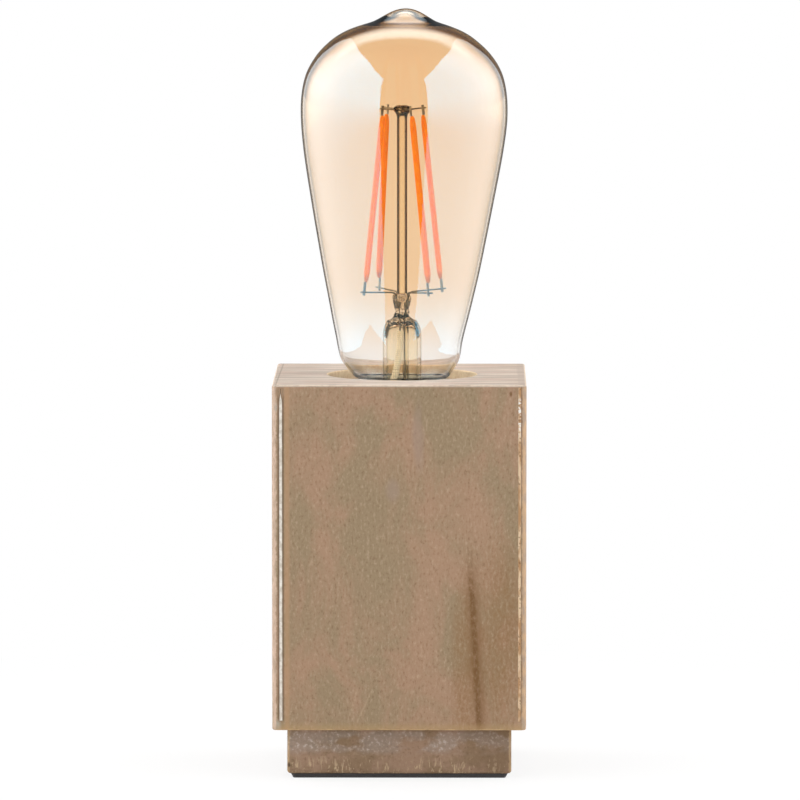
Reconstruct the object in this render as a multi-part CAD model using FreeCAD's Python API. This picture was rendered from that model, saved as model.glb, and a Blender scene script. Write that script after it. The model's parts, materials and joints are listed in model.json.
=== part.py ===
"""Bare bulb table lamp: a wooden block on a set-back plinth, with a screw lampholder sunk in its top
and a pear-shaped filament bulb standing out of it.

Millimetres. The origin is at the centre of the foot pad's underside, +Z is up and -Y is the front.
Every separate physical piece is one file in parts/.
"""

import math
import os

import FreeCAD
import Part
from FreeCAD import Vector

os.makedirs("parts", exist_ok=True)

UP = Vector(0, 0, 1)
ORIGIN = Vector(0, 0, 0)

# --- wooden base -----------------------------------------------------------------------------
PAD_THICKNESS = 1.5
PAD_SIDE = 67.0
PAD_BEVEL = 0.8
PAD_CORNER = 2.0
PLINTH_SIDE = 69.0
PLINTH_HEIGHT = 14.0
PLINTH_EASE = 1.2
PLINTH_FOOT_EASE = 1.0
BLOCK_SIDE = 78.0
BLOCK_HEIGHT = 106.5
BLOCK_EASES = {"front_left": 1.8, "front_right": 1.6, "back_right": 1.3, "back_left": 1.3}
BLOCK_TOP_EASE = 0.7
BLOCK_FOOT_EASE = 0.5

PLINTH_Z = PAD_THICKNESS
BLOCK_Z = PLINTH_Z + PLINTH_HEIGHT
BLOCK_TOP = BLOCK_Z + BLOCK_HEIGHT

STRIP_DEPTH = 0.8
STRIPS = {
    "edge_strip_left": {"x": -36.3, "width": 1.1, "foot": 18.5, "top": 120.7},
    "edge_strip_right": {"x": 36.9, "width": 0.8, "foot": 18.2, "top": 121.1},
}

# The bores, and all that stands in them, are this far to the right of the block's centre.
BORE_X = 0.6
RECESS_RADIUS = 23.0
RECESS_DEPTH = 53.5
RECESS_FLOOR = BLOCK_TOP - RECESS_DEPTH
WEB_THICKNESS = 10.0
CHAMBER_TOP = RECESS_FLOOR - WEB_THICKNESS
CHAMBER_RADIUS = 11.0

# --- screws, cable entry and threaded tube ---------------------------------------------------
SCREW_OFFSET = 26.0
SCREW_RADIUS = 2.0
SCREW_HEAD_RADIUS = 4.0
SCREW_LENGTH = 34.0
SCREW_POINT = 4.0
SCREW_INSET = 0.2
CABLE_Z = BLOCK_Z + 8.0
GROMMET_BORE = 3.5
GROMMET_BODY = 4.9
GROMMET_FLANGE = 6.5
GROMMET_FLANGE_THICKNESS = 1.5
GROMMET_LENGTH = 14.0
TUBE_RADIUS = 5.0
TUBE_BORE = 3.5
TUBE_IN_DOME = 5.0
WASHER_THICKNESS = 1.5
LOCK_WASHER_THICKNESS = 1.2
NUT_ACROSS_FLATS = 14.0
NUT_HEIGHT = 4.0
TUBE_BELOW_NUT = 1.2

# --- screw thread of the bulb and its holder -------------------------------------------------
THREAD_PITCH = 25.4 / 7
THREAD_OFFSET = 0.525
CAP_THREAD_RADIUS = 12.625
HOLDER_THREAD_RADIUS = 12.95
SHEET = 0.35

# --- bulb ------------------------------------------------------------------------------------
CAP_RIM = BLOCK_TOP - 1.5
CAP_HEIGHT = 26.6
CAP_TIP = CAP_RIM - CAP_HEIGHT
CAP_COLLAR_RADIUS = 13.2
CAP_COLLAR_HEIGHT = 2.6
CAP_THREAD_FOOT = CAP_RIM - 19.0
CAP_LIP_FOOT = CAP_THREAD_FOOT - 1.1
CAP_LIP_RADIUS = 9.8
GLASS_LENGTH = 115.05
GLASS_WALL = 0.9
GLASS_NECK_RADIUS = 11.5
GLASS_NECK_DEPTH = 10.0

# Outside of the glass: radius, and height above the cap's rim.
GLASS_OUTLINE = [
    (12.75, 0.0), (14.3, 0.6), (16.15, 2.7), (17.4, 4.4), (18.4, 6.4), (19.3, 10.5), (20.95, 18.1),
    (22.6, 25.7), (24.2, 33.2), (25.65, 40.8), (27.05, 48.3), (28.4, 55.8), (29.75, 63.4), (31.0, 71.2),
    (31.6, 76.0), (31.95, 80.0), (32.05, 83.5), (31.9, 87.3), (31.3, 91.5), (30.3, 95.0), (28.5, 98.5),
    (26.3, 101.5), (23.8, 104.0), (20.8, 106.4), (17.8, 108.1), (14.6, 109.4), (11.7, 110.35),
    (9.7, 111.05), (8.1, 111.9), (6.6, 112.8), (4.9, 113.75), (2.7, 114.65),
]

STEM_RADIUS = 6.0
STEM_WALL = 1.2
STEM_SHOULDER = CAP_RIM + 15.2
PRESS_FOOT = CAP_RIM + 19.6
PRESS_TOP = CAP_RIM + 26.8
PRESS_RADIUS = 2.7
PRESS_WAIST = 2.0
ROD_RADIUS = 1.6
BEAD_FOOT = CAP_RIM + 82.0
BEAD_TOP = CAP_RIM + 85.1
BEAD_RADIUS = 2.7
EXHAUST_RADIUS = 1.0
EXHAUST_BORE = 0.6
EXHAUST_X = 1.15
EXHAUST_Y = 1.6

# Each filament's direction from the axis at its foot and at its head, in degrees from +X.
FILAMENTS = {
    "filament_right_back": (28.0, 20.0),
    "filament_left_back": (123.0, 135.0),
    "filament_left_front": (215.0, 209.5),
    "filament_right_front": (307.0, 297.0),
}
FILAMENT_WIDTH = 2.1
FILAMENT_DEPTH = 1.6
FILAMENT_TAPER = 3.0
FILAMENT_LOW_RADIUS = 13.5
FILAMENT_HIGH_RADIUS = 6.9
FILAMENT_LOW_Z = CAP_RIM + 30.8
FILAMENT_HIGH_Z = CAP_RIM + 82.0
LOW_WIRE_Z = CAP_RIM + 27.7
HIGH_WIRE_Z = CAP_RIM + 84.2
TAB_WIDTH = 0.8
TAB_THICKNESS = 0.3
WIRE_RADIUS = 0.25
LEFT_FOOT_X = -0.6
RIGHT_FOOT_X = 0.75
STEM_WIRE_TOP = PRESS_FOOT - 4.0
SLEEVE_RADIUS = 0.85

BOARD_Z = CAP_THREAD_FOOT + 1.6
BOARD_THICKNESS = 1.0
BOARD_RADIUS = 11.0
BOARD_TOP = BOARD_Z + BOARD_THICKNESS
BUTTON_STEM = 1.15
BUTTON_HEIGHT = 4.2

# --- lampholder ------------------------------------------------------------------------------
HOLDER_RIM = CAP_RIM - 0.9
HOLDER_RADIUS = 19.5
DOME_ROUNDING = 6.0
DOME_TOP = RECESS_FLOOR + 26.0
DOME_WALL = 1.55
INSERT_FOOT = RECESS_FLOOR + 8.9
INSERT_TOP = CAP_TIP + 2.6
INSERT_RADIUS = 16.2
WELL_RADIUS = 7.5
WELL_FLOOR = CAP_TIP - 3.2
SKIRT_FOOT = RECESS_FLOOR + 19.0
TERMINAL_X = 7.0
TERMINAL_WIDTH = 5.0
TERMINAL_HEIGHT = 6.0
TERMINAL_FOOT = INSERT_FOOT + 2.6
TERMINAL_TOP = TERMINAL_FOOT + TERMINAL_HEIGHT
TERMINAL_SCREW_Z = TERMINAL_FOOT + 2.0
LEAD_RADIUS = 0.9
STRAP_WIDTH = 3.0
STRAP_THICKNESS = 0.5
CENTRE_STRAP_X = -6.2
SHELL_STRAP_X = 10.6
RIVET_RADIUS = 1.0
RIVET_CIRCLE = 10.6
SHELL_FOOT = INSERT_TOP
SHELL_TOP = HOLDER_RIM - 2.5
SHELL_RING = 8.6
TONGUE_GAP = 0.1
TONGUE_WIDTH = 5.0
TONGUE_THICKNESS = 0.4

# --- push-in connectors ----------------------------------------------------------------------
CONNECTOR_WIDTH = 8.3
CONNECTOR_LENGTH = 10.0
CONNECTOR_HEIGHT = 18.5
CONNECTOR_TOP = BLOCK_Z + CONNECTOR_HEIGHT
CONNECTOR_X = CONNECTOR_WIDTH / 2 + 0.1
PORT_RADIUS = 1.15
PORT_DEPTH = 8.0
PORT_Y = 2.4


def save(name, shape, axis_x=BORE_X):
    """Writes one sub-part, as one solid or a group of separate solids.

    Each shape is made about its own upright axis, which is set at axis_x here.
    """
    solids = moved(shape, axis_x).Solids
    group = solids[0] if len(solids) == 1 else Part.makeCompound(solids)
    if not group.isValid():
        print("NOT VALID", name)
    group.exportStep("parts/" + name + ".step")
    print(f"{name:24s} solids {len(solids):2d}  volume {group.Volume:10.1f}")


def cylinder(radius, foot, top, x=0.0, y=0.0):
    """Upright cylinder between two heights."""
    return Part.makeCylinder(radius, top - foot, Vector(x, y, foot), UP)


def cone(foot_radius, top_radius, foot, top, x=0.0, y=0.0):
    """Upright cone between two heights."""
    return Part.makeCone(foot_radius, top_radius, top - foot, Vector(x, y, foot), UP)


def box(width, depth, foot, top, x=0.0, y=0.0):
    """Upright box centred on x and y."""
    return Part.makeBox(width, depth, top - foot, Vector(x - width / 2, y - depth / 2, foot))


def turned(outline):
    """Solid of revolution about Z from a closed list of (radius, z) corners."""
    corners = [Vector(r, 0, z) for r, z in outline]
    return Part.Face(Part.makePolygon(corners + corners[:1])).revolve(ORIGIN, UP, 360)


def line(a, b):
    """Straight edge."""
    return Part.LineSegment(a, b).toShape()


def moved(shape, x=0.0, y=0.0, z=0.0):
    """Shifted copy."""
    copy = shape.copy()
    copy.translate(Vector(x, y, z))
    return copy


def spun(shape, degrees):
    """Copy turned about Z."""
    copy = shape.copy()
    copy.rotate(ORIGIN, UP, degrees)
    return copy


def at_angle(azimuth, radius, z):
    """Point at a distance from the vertical axis, in a direction measured from +X."""
    angle = math.radians(azimuth)
    return Vector(radius * math.cos(angle), radius * math.sin(angle), z)


def bent_path(points):
    """Straight runs through a list of corners, each corner replaced by a tangent arc.

    The arc's radius is as large as 0.45 of the shorter run beside it allows.
    """
    edges = []
    start = points[0]
    for before, corner, after in zip(points, points[1:], points[2:]):
        into = (corner - before).normalize()
        out = (after - corner).normalize()
        half_turn = into.getAngle(out) / 2
        reach = 0.45 * min(corner.distanceToPoint(before), corner.distanceToPoint(after))
        radius = reach / math.tan(half_turn)
        arc_start = corner - into * reach
        arc_end = corner + out * reach
        inward = (out - into).normalize()
        arc_middle = corner + inward * (radius / math.cos(half_turn) - radius)
        edges.append(line(start, arc_start))
        edges.append(Part.Arc(arc_start, arc_middle, arc_end).toShape())
        start = arc_end
    edges.append(line(start, points[-1]))
    return Part.Wire(edges)


def bent_wire(points, radius):
    """Round wire along bent_path."""
    section = Part.Wire([Part.makeCircle(radius, points[0], points[1] - points[0])])
    return bent_path(points).makePipeShell([section], True, False)


def thread(radius, foot, top):
    """Rolled round thread: a disc whose centre runs round a small helix as it climbs.

    Every thread is phased from the bulb's own thread foot, so all of them are in mesh at rest.
    """
    helix = Part.makeHelix(THREAD_PITCH, top - foot, THREAD_OFFSET)
    sweep = Part.BRepOffsetAPI.MakePipeShell(helix)
    sweep.setTrihedronMode(ORIGIN, UP)
    sweep.add(Part.Wire([Part.makeCircle(radius, Vector(THREAD_OFFSET, 0, 0), UP)]))
    sweep.build()
    sweep.makeSolid()
    solid = moved(sweep.shape(), z=foot)
    return spun(solid, 360 * (foot - CAP_THREAD_FOOT) / THREAD_PITCH)


def clipped_square(side, clip, z):
    """Closed wire of a square whose four corners are cut off at 45 degrees."""
    half = side / 2
    corners = []
    for sx, sy in [(-1, -1), (1, -1), (1, 1), (-1, 1)]:
        along_x = Vector(sx * (half - clip), sy * half, z)
        along_y = Vector(sx * half, sy * (half - clip), z)
        corners += [along_y, along_x] if sx == sy else [along_x, along_y]
    return Part.makePolygon(corners + corners[:1])


# --- wooden base -----------------------------------------------------------------------------


def screw_places():
    """Centres of the four screws that hold the plinth to the block."""
    return [(sx * SCREW_OFFSET, sy * SCREW_OFFSET) for sx in (-1, 1) for sy in (-1, 1)]


def make_foot_pad():
    """Thin foam pad with bevelled sides and clipped corners."""
    foot = clipped_square(PAD_SIDE - 2 * PAD_BEVEL, PAD_CORNER, 0)
    top = clipped_square(PAD_SIDE, PAD_CORNER, PAD_THICKNESS)
    save("foot_pad", Part.makeLoft([foot, top], True, True), 0)


def make_plinth():
    """Set-back wooden foot, eased round its underside, drilled and countersunk for four screws."""
    plinth = Part.Face(clipped_square(PLINTH_SIDE, PLINTH_EASE, PLINTH_Z)).extrude(UP * PLINTH_HEIGHT)
    rim = [edge for edge in plinth.Edges if edge.BoundBox.ZMax < PLINTH_Z + 0.01]
    plinth = plinth.makeChamfer(PLINTH_FOOT_EASE, rim)
    ease = 0.25
    seat_depth = SCREW_INSET + SCREW_HEAD_RADIUS - SCREW_RADIUS
    hole = cylinder(SCREW_RADIUS + ease, PLINTH_Z, BLOCK_Z)
    seat_foot = PLINTH_Z + SCREW_INSET
    seat = cone(SCREW_HEAD_RADIUS + ease, SCREW_RADIUS + ease, seat_foot, PLINTH_Z + seat_depth)
    seat = seat.fuse(cylinder(SCREW_HEAD_RADIUS + ease, PLINTH_Z, seat_foot))
    for x, y in screw_places():
        plinth = plinth.cut(moved(hole.fuse(seat), x, y))
    save("plinth", plinth, 0)


def make_plinth_screws():
    """The four identical countersunk wood screws, as one group."""
    head_foot = PLINTH_Z + SCREW_INSET
    shank_foot = head_foot + SCREW_HEAD_RADIUS - SCREW_RADIUS
    tip = head_foot + SCREW_LENGTH
    screw = cone(SCREW_HEAD_RADIUS, SCREW_RADIUS, head_foot, shank_foot)
    screw = screw.fuse(cylinder(SCREW_RADIUS, shank_foot, tip - SCREW_POINT))
    screw = screw.fuse(cone(SCREW_RADIUS, 0.2, tip - SCREW_POINT, tip))
    slot_width, slot_length, slot_depth = 0.9, 4.2, 1.6
    for turn in (0, 90):
        screw = screw.cut(spun(box(slot_length, slot_width, head_foot, head_foot + slot_depth), turn))
    save("plinth_screws", Part.makeCompound([moved(screw, x, y) for x, y in screw_places()]), 0)


def cable_tunnel(radius, depth):
    """Level round bar from the block's back face, towards the front."""
    return Part.makeCylinder(radius, depth, Vector(0, BLOCK_SIDE / 2, CABLE_Z), Vector(0, -1, 0))


def edge_strip(strip, clearance):
    """Upright bar that lies flush with the block's front face."""
    width = strip["width"] + 2 * clearance
    depth = STRIP_DEPTH + clearance
    y = -BLOCK_SIDE / 2 + depth / 2
    return box(width, depth, strip["foot"] - clearance, strip["top"] + clearance, strip["x"], y)


def make_wood_block():
    """Solid block, bored for the lampholder, the threaded tube, the wiring and the cable entry."""
    half = BLOCK_SIDE / 2
    block = box(BLOCK_SIDE, BLOCK_SIDE, BLOCK_Z, BLOCK_TOP)
    for corner, ease in BLOCK_EASES.items():
        x = -half if corner.endswith("left") else half
        y = -half if corner.startswith("front") else half
        upright = [e for e in block.Edges if e.BoundBox.ZLength > BLOCK_HEIGHT / 2
                   and abs(e.CenterOfMass.x - x) < 0.01 and abs(e.CenterOfMass.y - y) < 0.01]
        block = block.makeFillet(ease, upright)
    top_rim = [e for e in block.Edges if e.BoundBox.ZMin > BLOCK_TOP - 0.01]
    block = block.makeFillet(BLOCK_TOP_EASE, top_rim)
    foot_rim = [e for e in block.Edges if e.BoundBox.ZMax < BLOCK_Z + 0.01]
    block = block.makeChamfer(BLOCK_FOOT_EASE, foot_rim)
    bores = [
        cylinder(RECESS_RADIUS, RECESS_FLOOR, BLOCK_TOP),
        cylinder(TUBE_RADIUS + 0.3, CHAMBER_TOP, RECESS_FLOOR),
        cylinder(CHAMBER_RADIUS, BLOCK_Z, CHAMBER_TOP),
        cable_tunnel(GROMMET_BODY + 0.05, half - CHAMBER_RADIUS / 2),
        cable_tunnel(GROMMET_FLANGE + 0.1, GROMMET_FLANGE_THICKNESS),
    ]
    for bore in bores:
        block = block.cut(moved(bore, BORE_X))
    for strip in STRIPS.values():
        block = block.cut(edge_strip(strip, 0.03))
    for x, y in screw_places():
        block = block.cut(cylinder(SCREW_RADIUS + 0.02, BLOCK_Z, PLINTH_Z + SCREW_LENGTH + 1.0, x, y))
    save("wood_block", block, 0)


def make_edge_strips():
    """Two narrow strips let into the front face, beside its left and right edges."""
    for name, strip in STRIPS.items():
        save(name, edge_strip(strip, 0.0), 0)


def make_cable_grommet():
    """Bush that lines the cable hole, with a flange let in flush at the back."""
    bush = cable_tunnel(GROMMET_BODY, GROMMET_LENGTH)
    bush = bush.fuse(cable_tunnel(GROMMET_FLANGE, GROMMET_FLANGE_THICKNESS))
    bush = bush.cut(cable_tunnel(GROMMET_BORE, GROMMET_LENGTH))
    save("cable_grommet", bush.removeSplitter())


def make_tube_and_nut():
    """Threaded tube that clamps the lampholder to the wood, with its washers and hexagon nut."""
    washer_foot = CHAMBER_TOP - WASHER_THICKNESS
    lock_foot = washer_foot - LOCK_WASHER_THICKNESS
    nut_foot = lock_foot - NUT_HEIGHT
    tube_foot = nut_foot - TUBE_BELOW_NUT
    tube_top = RECESS_FLOOR + TUBE_IN_DOME
    ease = 0.5
    save("threaded_tube", turned([
        (TUBE_BORE, tube_foot), (TUBE_RADIUS - ease, tube_foot), (TUBE_RADIUS, tube_foot + ease),
        (TUBE_RADIUS, tube_top - ease), (TUBE_RADIUS - ease, tube_top), (TUBE_BORE, tube_top),
    ]))
    hole = TUBE_RADIUS + 0.05
    washer = cylinder(CHAMBER_RADIUS - 0.8, washer_foot, CHAMBER_TOP)
    save("tube_washer", washer.cut(cylinder(hole + 0.2, washer_foot, CHAMBER_TOP)))
    lock = cylinder(8.2, lock_foot, washer_foot).cut(cylinder(hole + 0.1, lock_foot, washer_foot))
    teeth = 12
    for k in range(teeth):
        lock = lock.cut(spun(box(2.2, 1.1, lock_foot, washer_foot, x=8.4), 360 * k / teeth))
    save("tube_lock_washer", lock)
    corner = NUT_ACROSS_FLATS / 2 / math.cos(math.pi / 6)
    hexagon = [at_angle(60 * k, corner, nut_foot) for k in range(6)]
    nut = Part.Face(Part.makePolygon(hexagon + hexagon[:1])).extrude(UP * NUT_HEIGHT)
    rounding = cone(corner - 1.0, corner + 1.0, nut_foot, nut_foot + 1.2)
    rounding = rounding.fuse(cylinder(corner + 1.0, nut_foot + 1.2, lock_foot))
    save("tube_nut", nut.common(rounding).cut(cylinder(hole, nut_foot, lock_foot)))


# --- lampholder ------------------------------------------------------------------------------


def make_holder_dome():
    """Lower cup of the lampholder, rounded at its foot, with a hole for the threaded tube."""
    foot = RECESS_FLOOR
    floor = foot + TUBE_IN_DOME
    bore = TUBE_RADIUS + 0.05
    wall = HOLDER_RADIUS - DOME_WALL
    seat = 15.0
    flat = HOLDER_RADIUS - DOME_ROUNDING
    turn = DOME_ROUNDING * (1 - math.sqrt(0.5))
    start = Vector(flat, 0, foot)
    middle = Vector(HOLDER_RADIUS - turn, 0, foot + turn)
    end = Vector(HOLDER_RADIUS, 0, foot + DOME_ROUNDING)
    corners = [
        end, Vector(HOLDER_RADIUS, 0, DOME_TOP), Vector(wall, 0, DOME_TOP), Vector(wall, 0, INSERT_FOOT),
        Vector(seat, 0, INSERT_FOOT), Vector(seat, 0, floor), Vector(bore, 0, floor), Vector(bore, 0, foot),
        start,
    ]
    edges = [Part.Arc(start, middle, end).toShape()] + [line(a, b) for a, b in zip(corners, corners[1:])]
    dome = Part.Face(Part.Wire(edges)).revolve(ORIGIN, UP, 360)
    grub_start = Vector(TUBE_RADIUS - 0.5, 0, foot + 2.2)
    grub_hole = Part.makeCylinder(1.5, HOLDER_RADIUS, grub_start, Vector(1, 0, 0))
    save("holder_dome", dome.cut(grub_hole))


def make_dome_grub_screw():
    """Small slotted set screw that locks the dome on the threaded tube."""
    z = RECESS_FLOOR + 2.2
    screw = Part.makeCylinder(1.45, 3.6, Vector(TUBE_RADIUS + 0.02, 0, z), Vector(1, 0, 0))
    save("dome_grub_screw", screw.cut(box(1.6, 0.5, z - 2.0, z + 2.0, TUBE_RADIUS + 3.8)))


def make_holder_skirt():
    """Upper sleeve of the lampholder: its tail fits in the dome and its lip covers the screw shell."""
    tail, clamp, inside, lip = 17.85, 16.35, 15.3, 14.3
    lip_foot = HOLDER_RIM - 1.8
    save("holder_skirt", turned([
        (clamp, SKIRT_FOOT), (tail, SKIRT_FOOT), (tail, DOME_TOP), (HOLDER_RADIUS, DOME_TOP),
        (HOLDER_RADIUS, HOLDER_RIM - 1.2), (HOLDER_RADIUS - 0.4, HOLDER_RIM - 0.4),
        (HOLDER_RADIUS - 1.2, HOLDER_RIM), (lip + 0.6, HOLDER_RIM), (lip, HOLDER_RIM - 0.6),
        (lip, lip_foot), (inside, lip_foot), (inside, INSERT_TOP), (clamp, INSERT_TOP),
    ]))


def rivet_places():
    """Centres of the two rivets that hold the screw shell on the insert."""
    return [(0.0, RIVET_CIRCLE), (0.0, -RIVET_CIRCLE)]


def make_holder_insert():
    """Ceramic core with a well for the centre contact, deep terminal pockets and strap slots."""
    ease = 0.1
    insert = cylinder(INSERT_RADIUS, INSERT_FOOT, INSERT_TOP)
    insert = insert.cut(cylinder(WELL_RADIUS, WELL_FLOOR, INSERT_TOP))
    pocket_top = TERMINAL_TOP + ease
    pocket_width = TERMINAL_WIDTH + 2 * ease
    for side in (-1, 1):
        inner = TERMINAL_X - pocket_width / 2
        length = INSERT_RADIUS + 1.0 - inner
        insert = insert.cut(box(length, pocket_width, INSERT_FOOT, pocket_top, side * (inner + length / 2)))
    slot_width = STRAP_WIDTH + 2 * ease
    slot_thickness = STRAP_THICKNESS + 2 * ease
    insert = insert.cut(box(slot_thickness, slot_width, TERMINAL_TOP, WELL_FLOOR, CENTRE_STRAP_X))
    insert = insert.cut(box(slot_thickness, slot_width, TERMINAL_TOP, INSERT_TOP, SHELL_STRAP_X))
    for x, y in rivet_places():
        insert = insert.cut(cylinder(RIVET_RADIUS + 0.05, INSERT_FOOT, INSERT_TOP, x, y))
    save("holder_insert", insert)


def make_screw_shell():
    """Rolled brass shell with the holder's thread, closed below by a flat ring on the insert."""
    outer = thread(HOLDER_THREAD_RADIUS + SHEET, SHELL_FOOT, SHELL_TOP)
    inner = thread(HOLDER_THREAD_RADIUS, SHELL_FOOT - THREAD_PITCH, SHELL_TOP + THREAD_PITCH)
    ring = cylinder(HOLDER_THREAD_RADIUS - 0.2, SHELL_FOOT, SHELL_FOOT + SHEET)
    shell = outer.cut(inner).fuse(ring).cut(cylinder(SHELL_RING, SHELL_FOOT, SHELL_FOOT + SHEET))
    for x, y in rivet_places():
        shell = shell.cut(cylinder(RIVET_RADIUS + 0.03, SHELL_FOOT, SHELL_FOOT + SHEET, x, y))
    save("screw_shell", shell)


def make_shell_rivets():
    """Two flat-headed rivets through the screw shell's ring and the insert."""
    head = SHELL_FOOT + SHEET
    rivet = cylinder(RIVET_RADIUS, INSERT_FOOT, head).fuse(cone(1.7, 1.3, head, head + 0.5))
    rivet = rivet.fuse(cone(1.4, 1.7, INSERT_FOOT - 0.5, INSERT_FOOT))
    save("shell_rivets", Part.makeCompound([moved(rivet, x, y) for x, y in rivet_places()]))


def terminal_block(side):
    """Brass block with a wire hole below and a clamp screw hole facing outwards."""
    x = side * TERMINAL_X
    block = box(TERMINAL_WIDTH, TERMINAL_WIDTH, TERMINAL_FOOT, TERMINAL_TOP, x)
    block = block.cut(cylinder(LEAD_RADIUS + 0.1, TERMINAL_FOOT, TERMINAL_FOOT + 4.0, x))
    hole = Part.makeCylinder(1.25, TERMINAL_WIDTH / 2, Vector(x, 0, TERMINAL_SCREW_Z), Vector(side, 0, 0))
    return block.cut(hole)


def make_contacts():
    """Terminal blocks with the brass straps that join them to the centre and shell contacts."""
    strap = STRAP_THICKNESS
    live = terminal_block(-1)
    riser = box(strap, STRAP_WIDTH, TERMINAL_TOP, WELL_FLOOR + strap, CENTRE_STRAP_X)
    foot = box(3.0, STRAP_WIDTH, WELL_FLOOR, WELL_FLOOR + strap, CENTRE_STRAP_X + 1.25)
    save("centre_terminal", live.fuse(riser).fuse(foot).removeSplitter())
    neutral = terminal_block(1)
    bridge_width = SHELL_STRAP_X - TERMINAL_X + strap / 2
    bridge_x = TERMINAL_X + bridge_width / 2
    bridge = box(bridge_width, STRAP_WIDTH, TERMINAL_TOP - strap, TERMINAL_TOP, bridge_x)
    riser = box(strap, STRAP_WIDTH, TERMINAL_TOP - strap, SHELL_FOOT, SHELL_STRAP_X)
    save("shell_terminal", neutral.fuse(bridge).fuse(riser).removeSplitter())


def make_terminal_screws():
    """Two slotted clamp screws, facing outwards."""
    screws = []
    face = TERMINAL_X + TERMINAL_WIDTH / 2
    for side in (-1, 1):
        out = Vector(side, 0, 0)
        shank_start = TERMINAL_X + LEAD_RADIUS + 0.1
        start = Vector(side * shank_start, 0, TERMINAL_SCREW_Z)
        shank = Part.makeCylinder(1.2, face - shank_start, start, out)
        head = Part.makeCylinder(1.8, 1.2, Vector(side * face, 0, TERMINAL_SCREW_Z), out)
        slot = box(1.0, 0.5, TERMINAL_SCREW_Z - 2.0, TERMINAL_SCREW_Z + 2.0, side * (face + 1.1))
        screws.append(shank.fuse(head).cut(slot))
    save("terminal_screws", Part.makeCompound(screws))


def make_centre_tongue():
    """Springy brass tongue: a rolled eye at its root, a rising strip and a flat contact end."""
    top = CAP_TIP - TONGUE_GAP
    root_x = CENTRE_STRAP_X + 1.5
    root_z = WELL_FLOOR + STRAP_THICKNESS + 0.35
    eye = Part.makeCylinder(0.3, TONGUE_WIDTH, Vector(root_x, -TONGUE_WIDTH / 2, root_z), Vector(0, 1, 0))
    bend_x, end_x = -1.6, 2.6
    low = top - TONGUE_THICKNESS
    side = [
        (root_x, root_z - 0.2), (bend_x, low), (end_x, low), (end_x + 0.8, low - 0.6),
        (end_x + 1.1, low - 0.3), (end_x + 0.1, top), (bend_x - 0.1, top), (root_x, root_z + 0.2),
    ]
    corners = [Vector(x, -TONGUE_WIDTH / 2, z) for x, z in side]
    strip = Part.Face(Part.makePolygon(corners + corners[:1])).extrude(Vector(0, TONGUE_WIDTH, 0))
    save("centre_tongue", eye.fuse(strip).removeSplitter())


def make_wire_connectors():
    """Two push-in connectors, standing on the plinth, that join the leads to a mains cable."""
    for name, side in (("connector_live", -1), ("connector_neutral", 1)):
        x = side * CONNECTOR_X
        body = box(CONNECTOR_WIDTH, CONNECTOR_LENGTH, BLOCK_Z, CONNECTOR_TOP, x)
        for port_y in (-PORT_Y, PORT_Y):
            body = body.cut(cylinder(PORT_RADIUS, CONNECTOR_TOP - PORT_DEPTH, CONNECTOR_TOP, x, port_y))
        body = body.cut(box(1.6, 1.6, CONNECTOR_TOP - 3.0, CONNECTOR_TOP, x))
        save(name, body)


def make_leads():
    """Insulated leads from the connectors, up through the threaded tube, to the terminal blocks."""
    nut_foot = CHAMBER_TOP - WASHER_THICKNESS - LOCK_WASHER_THICKNESS - NUT_HEIGHT
    tube_x, tube_y = LEAD_RADIUS + 0.35, -1.2
    for name, side in (("lead_live", -1), ("lead_neutral", 1)):
        save(name, bent_wire([
            Vector(side * CONNECTOR_X, -PORT_Y, CONNECTOR_TOP - PORT_DEPTH),
            Vector(side * CONNECTOR_X, -PORT_Y, CONNECTOR_TOP + 3.5),
            Vector(side * tube_x, tube_y, nut_foot - TUBE_BELOW_NUT - 2.5),
            Vector(side * tube_x, tube_y, RECESS_FLOOR + 5.6),
            Vector(side * TERMINAL_X, 0, INSERT_FOOT - 1.0),
            Vector(side * TERMINAL_X, 0, TERMINAL_FOOT + 3.9),
        ], LEAD_RADIUS))


# --- bulb ------------------------------------------------------------------------------------


def outline_curve(points):
    """Smooth curve through (radius, z) points that end on the axis, level there by symmetry."""
    mirrored = [Vector(-r, 0, z) for r, z in points[-4:-1]][::-1]
    whole = Part.BSplineCurve()
    whole.interpolate([Vector(r, 0, z) for r, z in points] + mirrored)
    half = whole.copy()
    half.segment(whole.FirstParameter, whole.parameter(Vector(0, 0, points[-1][1])))
    return half


def glass_outline():
    """Outside of the envelope, as (radius, z) points from the cap's rim to the tip."""
    return [(r, CAP_RIM + h) for r, h in GLASS_OUTLINE] + [(0.0, CAP_RIM + GLASS_LENGTH)]


def inside_outline():
    """The outline moved inwards by the wall, with a slightly thicker wall at the tip."""
    outer = glass_outline()
    inner = []
    for before, here, after in zip([outer[0]] + outer, outer, outer[1:]):
        run = Vector(after[0] - before[0], 0, after[1] - before[1]).normalize()
        inner.append((here[0] - run.z * GLASS_WALL, here[1] + run.x * GLASS_WALL))
    inner = [(r, z) for r, z in inner if r > 1.5]
    inner[0] = (outer[0][0] - GLASS_WALL - 0.1, outer[0][1] + 0.2)
    return inner + [(0.0, outer[-1][1] - GLASS_WALL - 0.5)]


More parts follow.
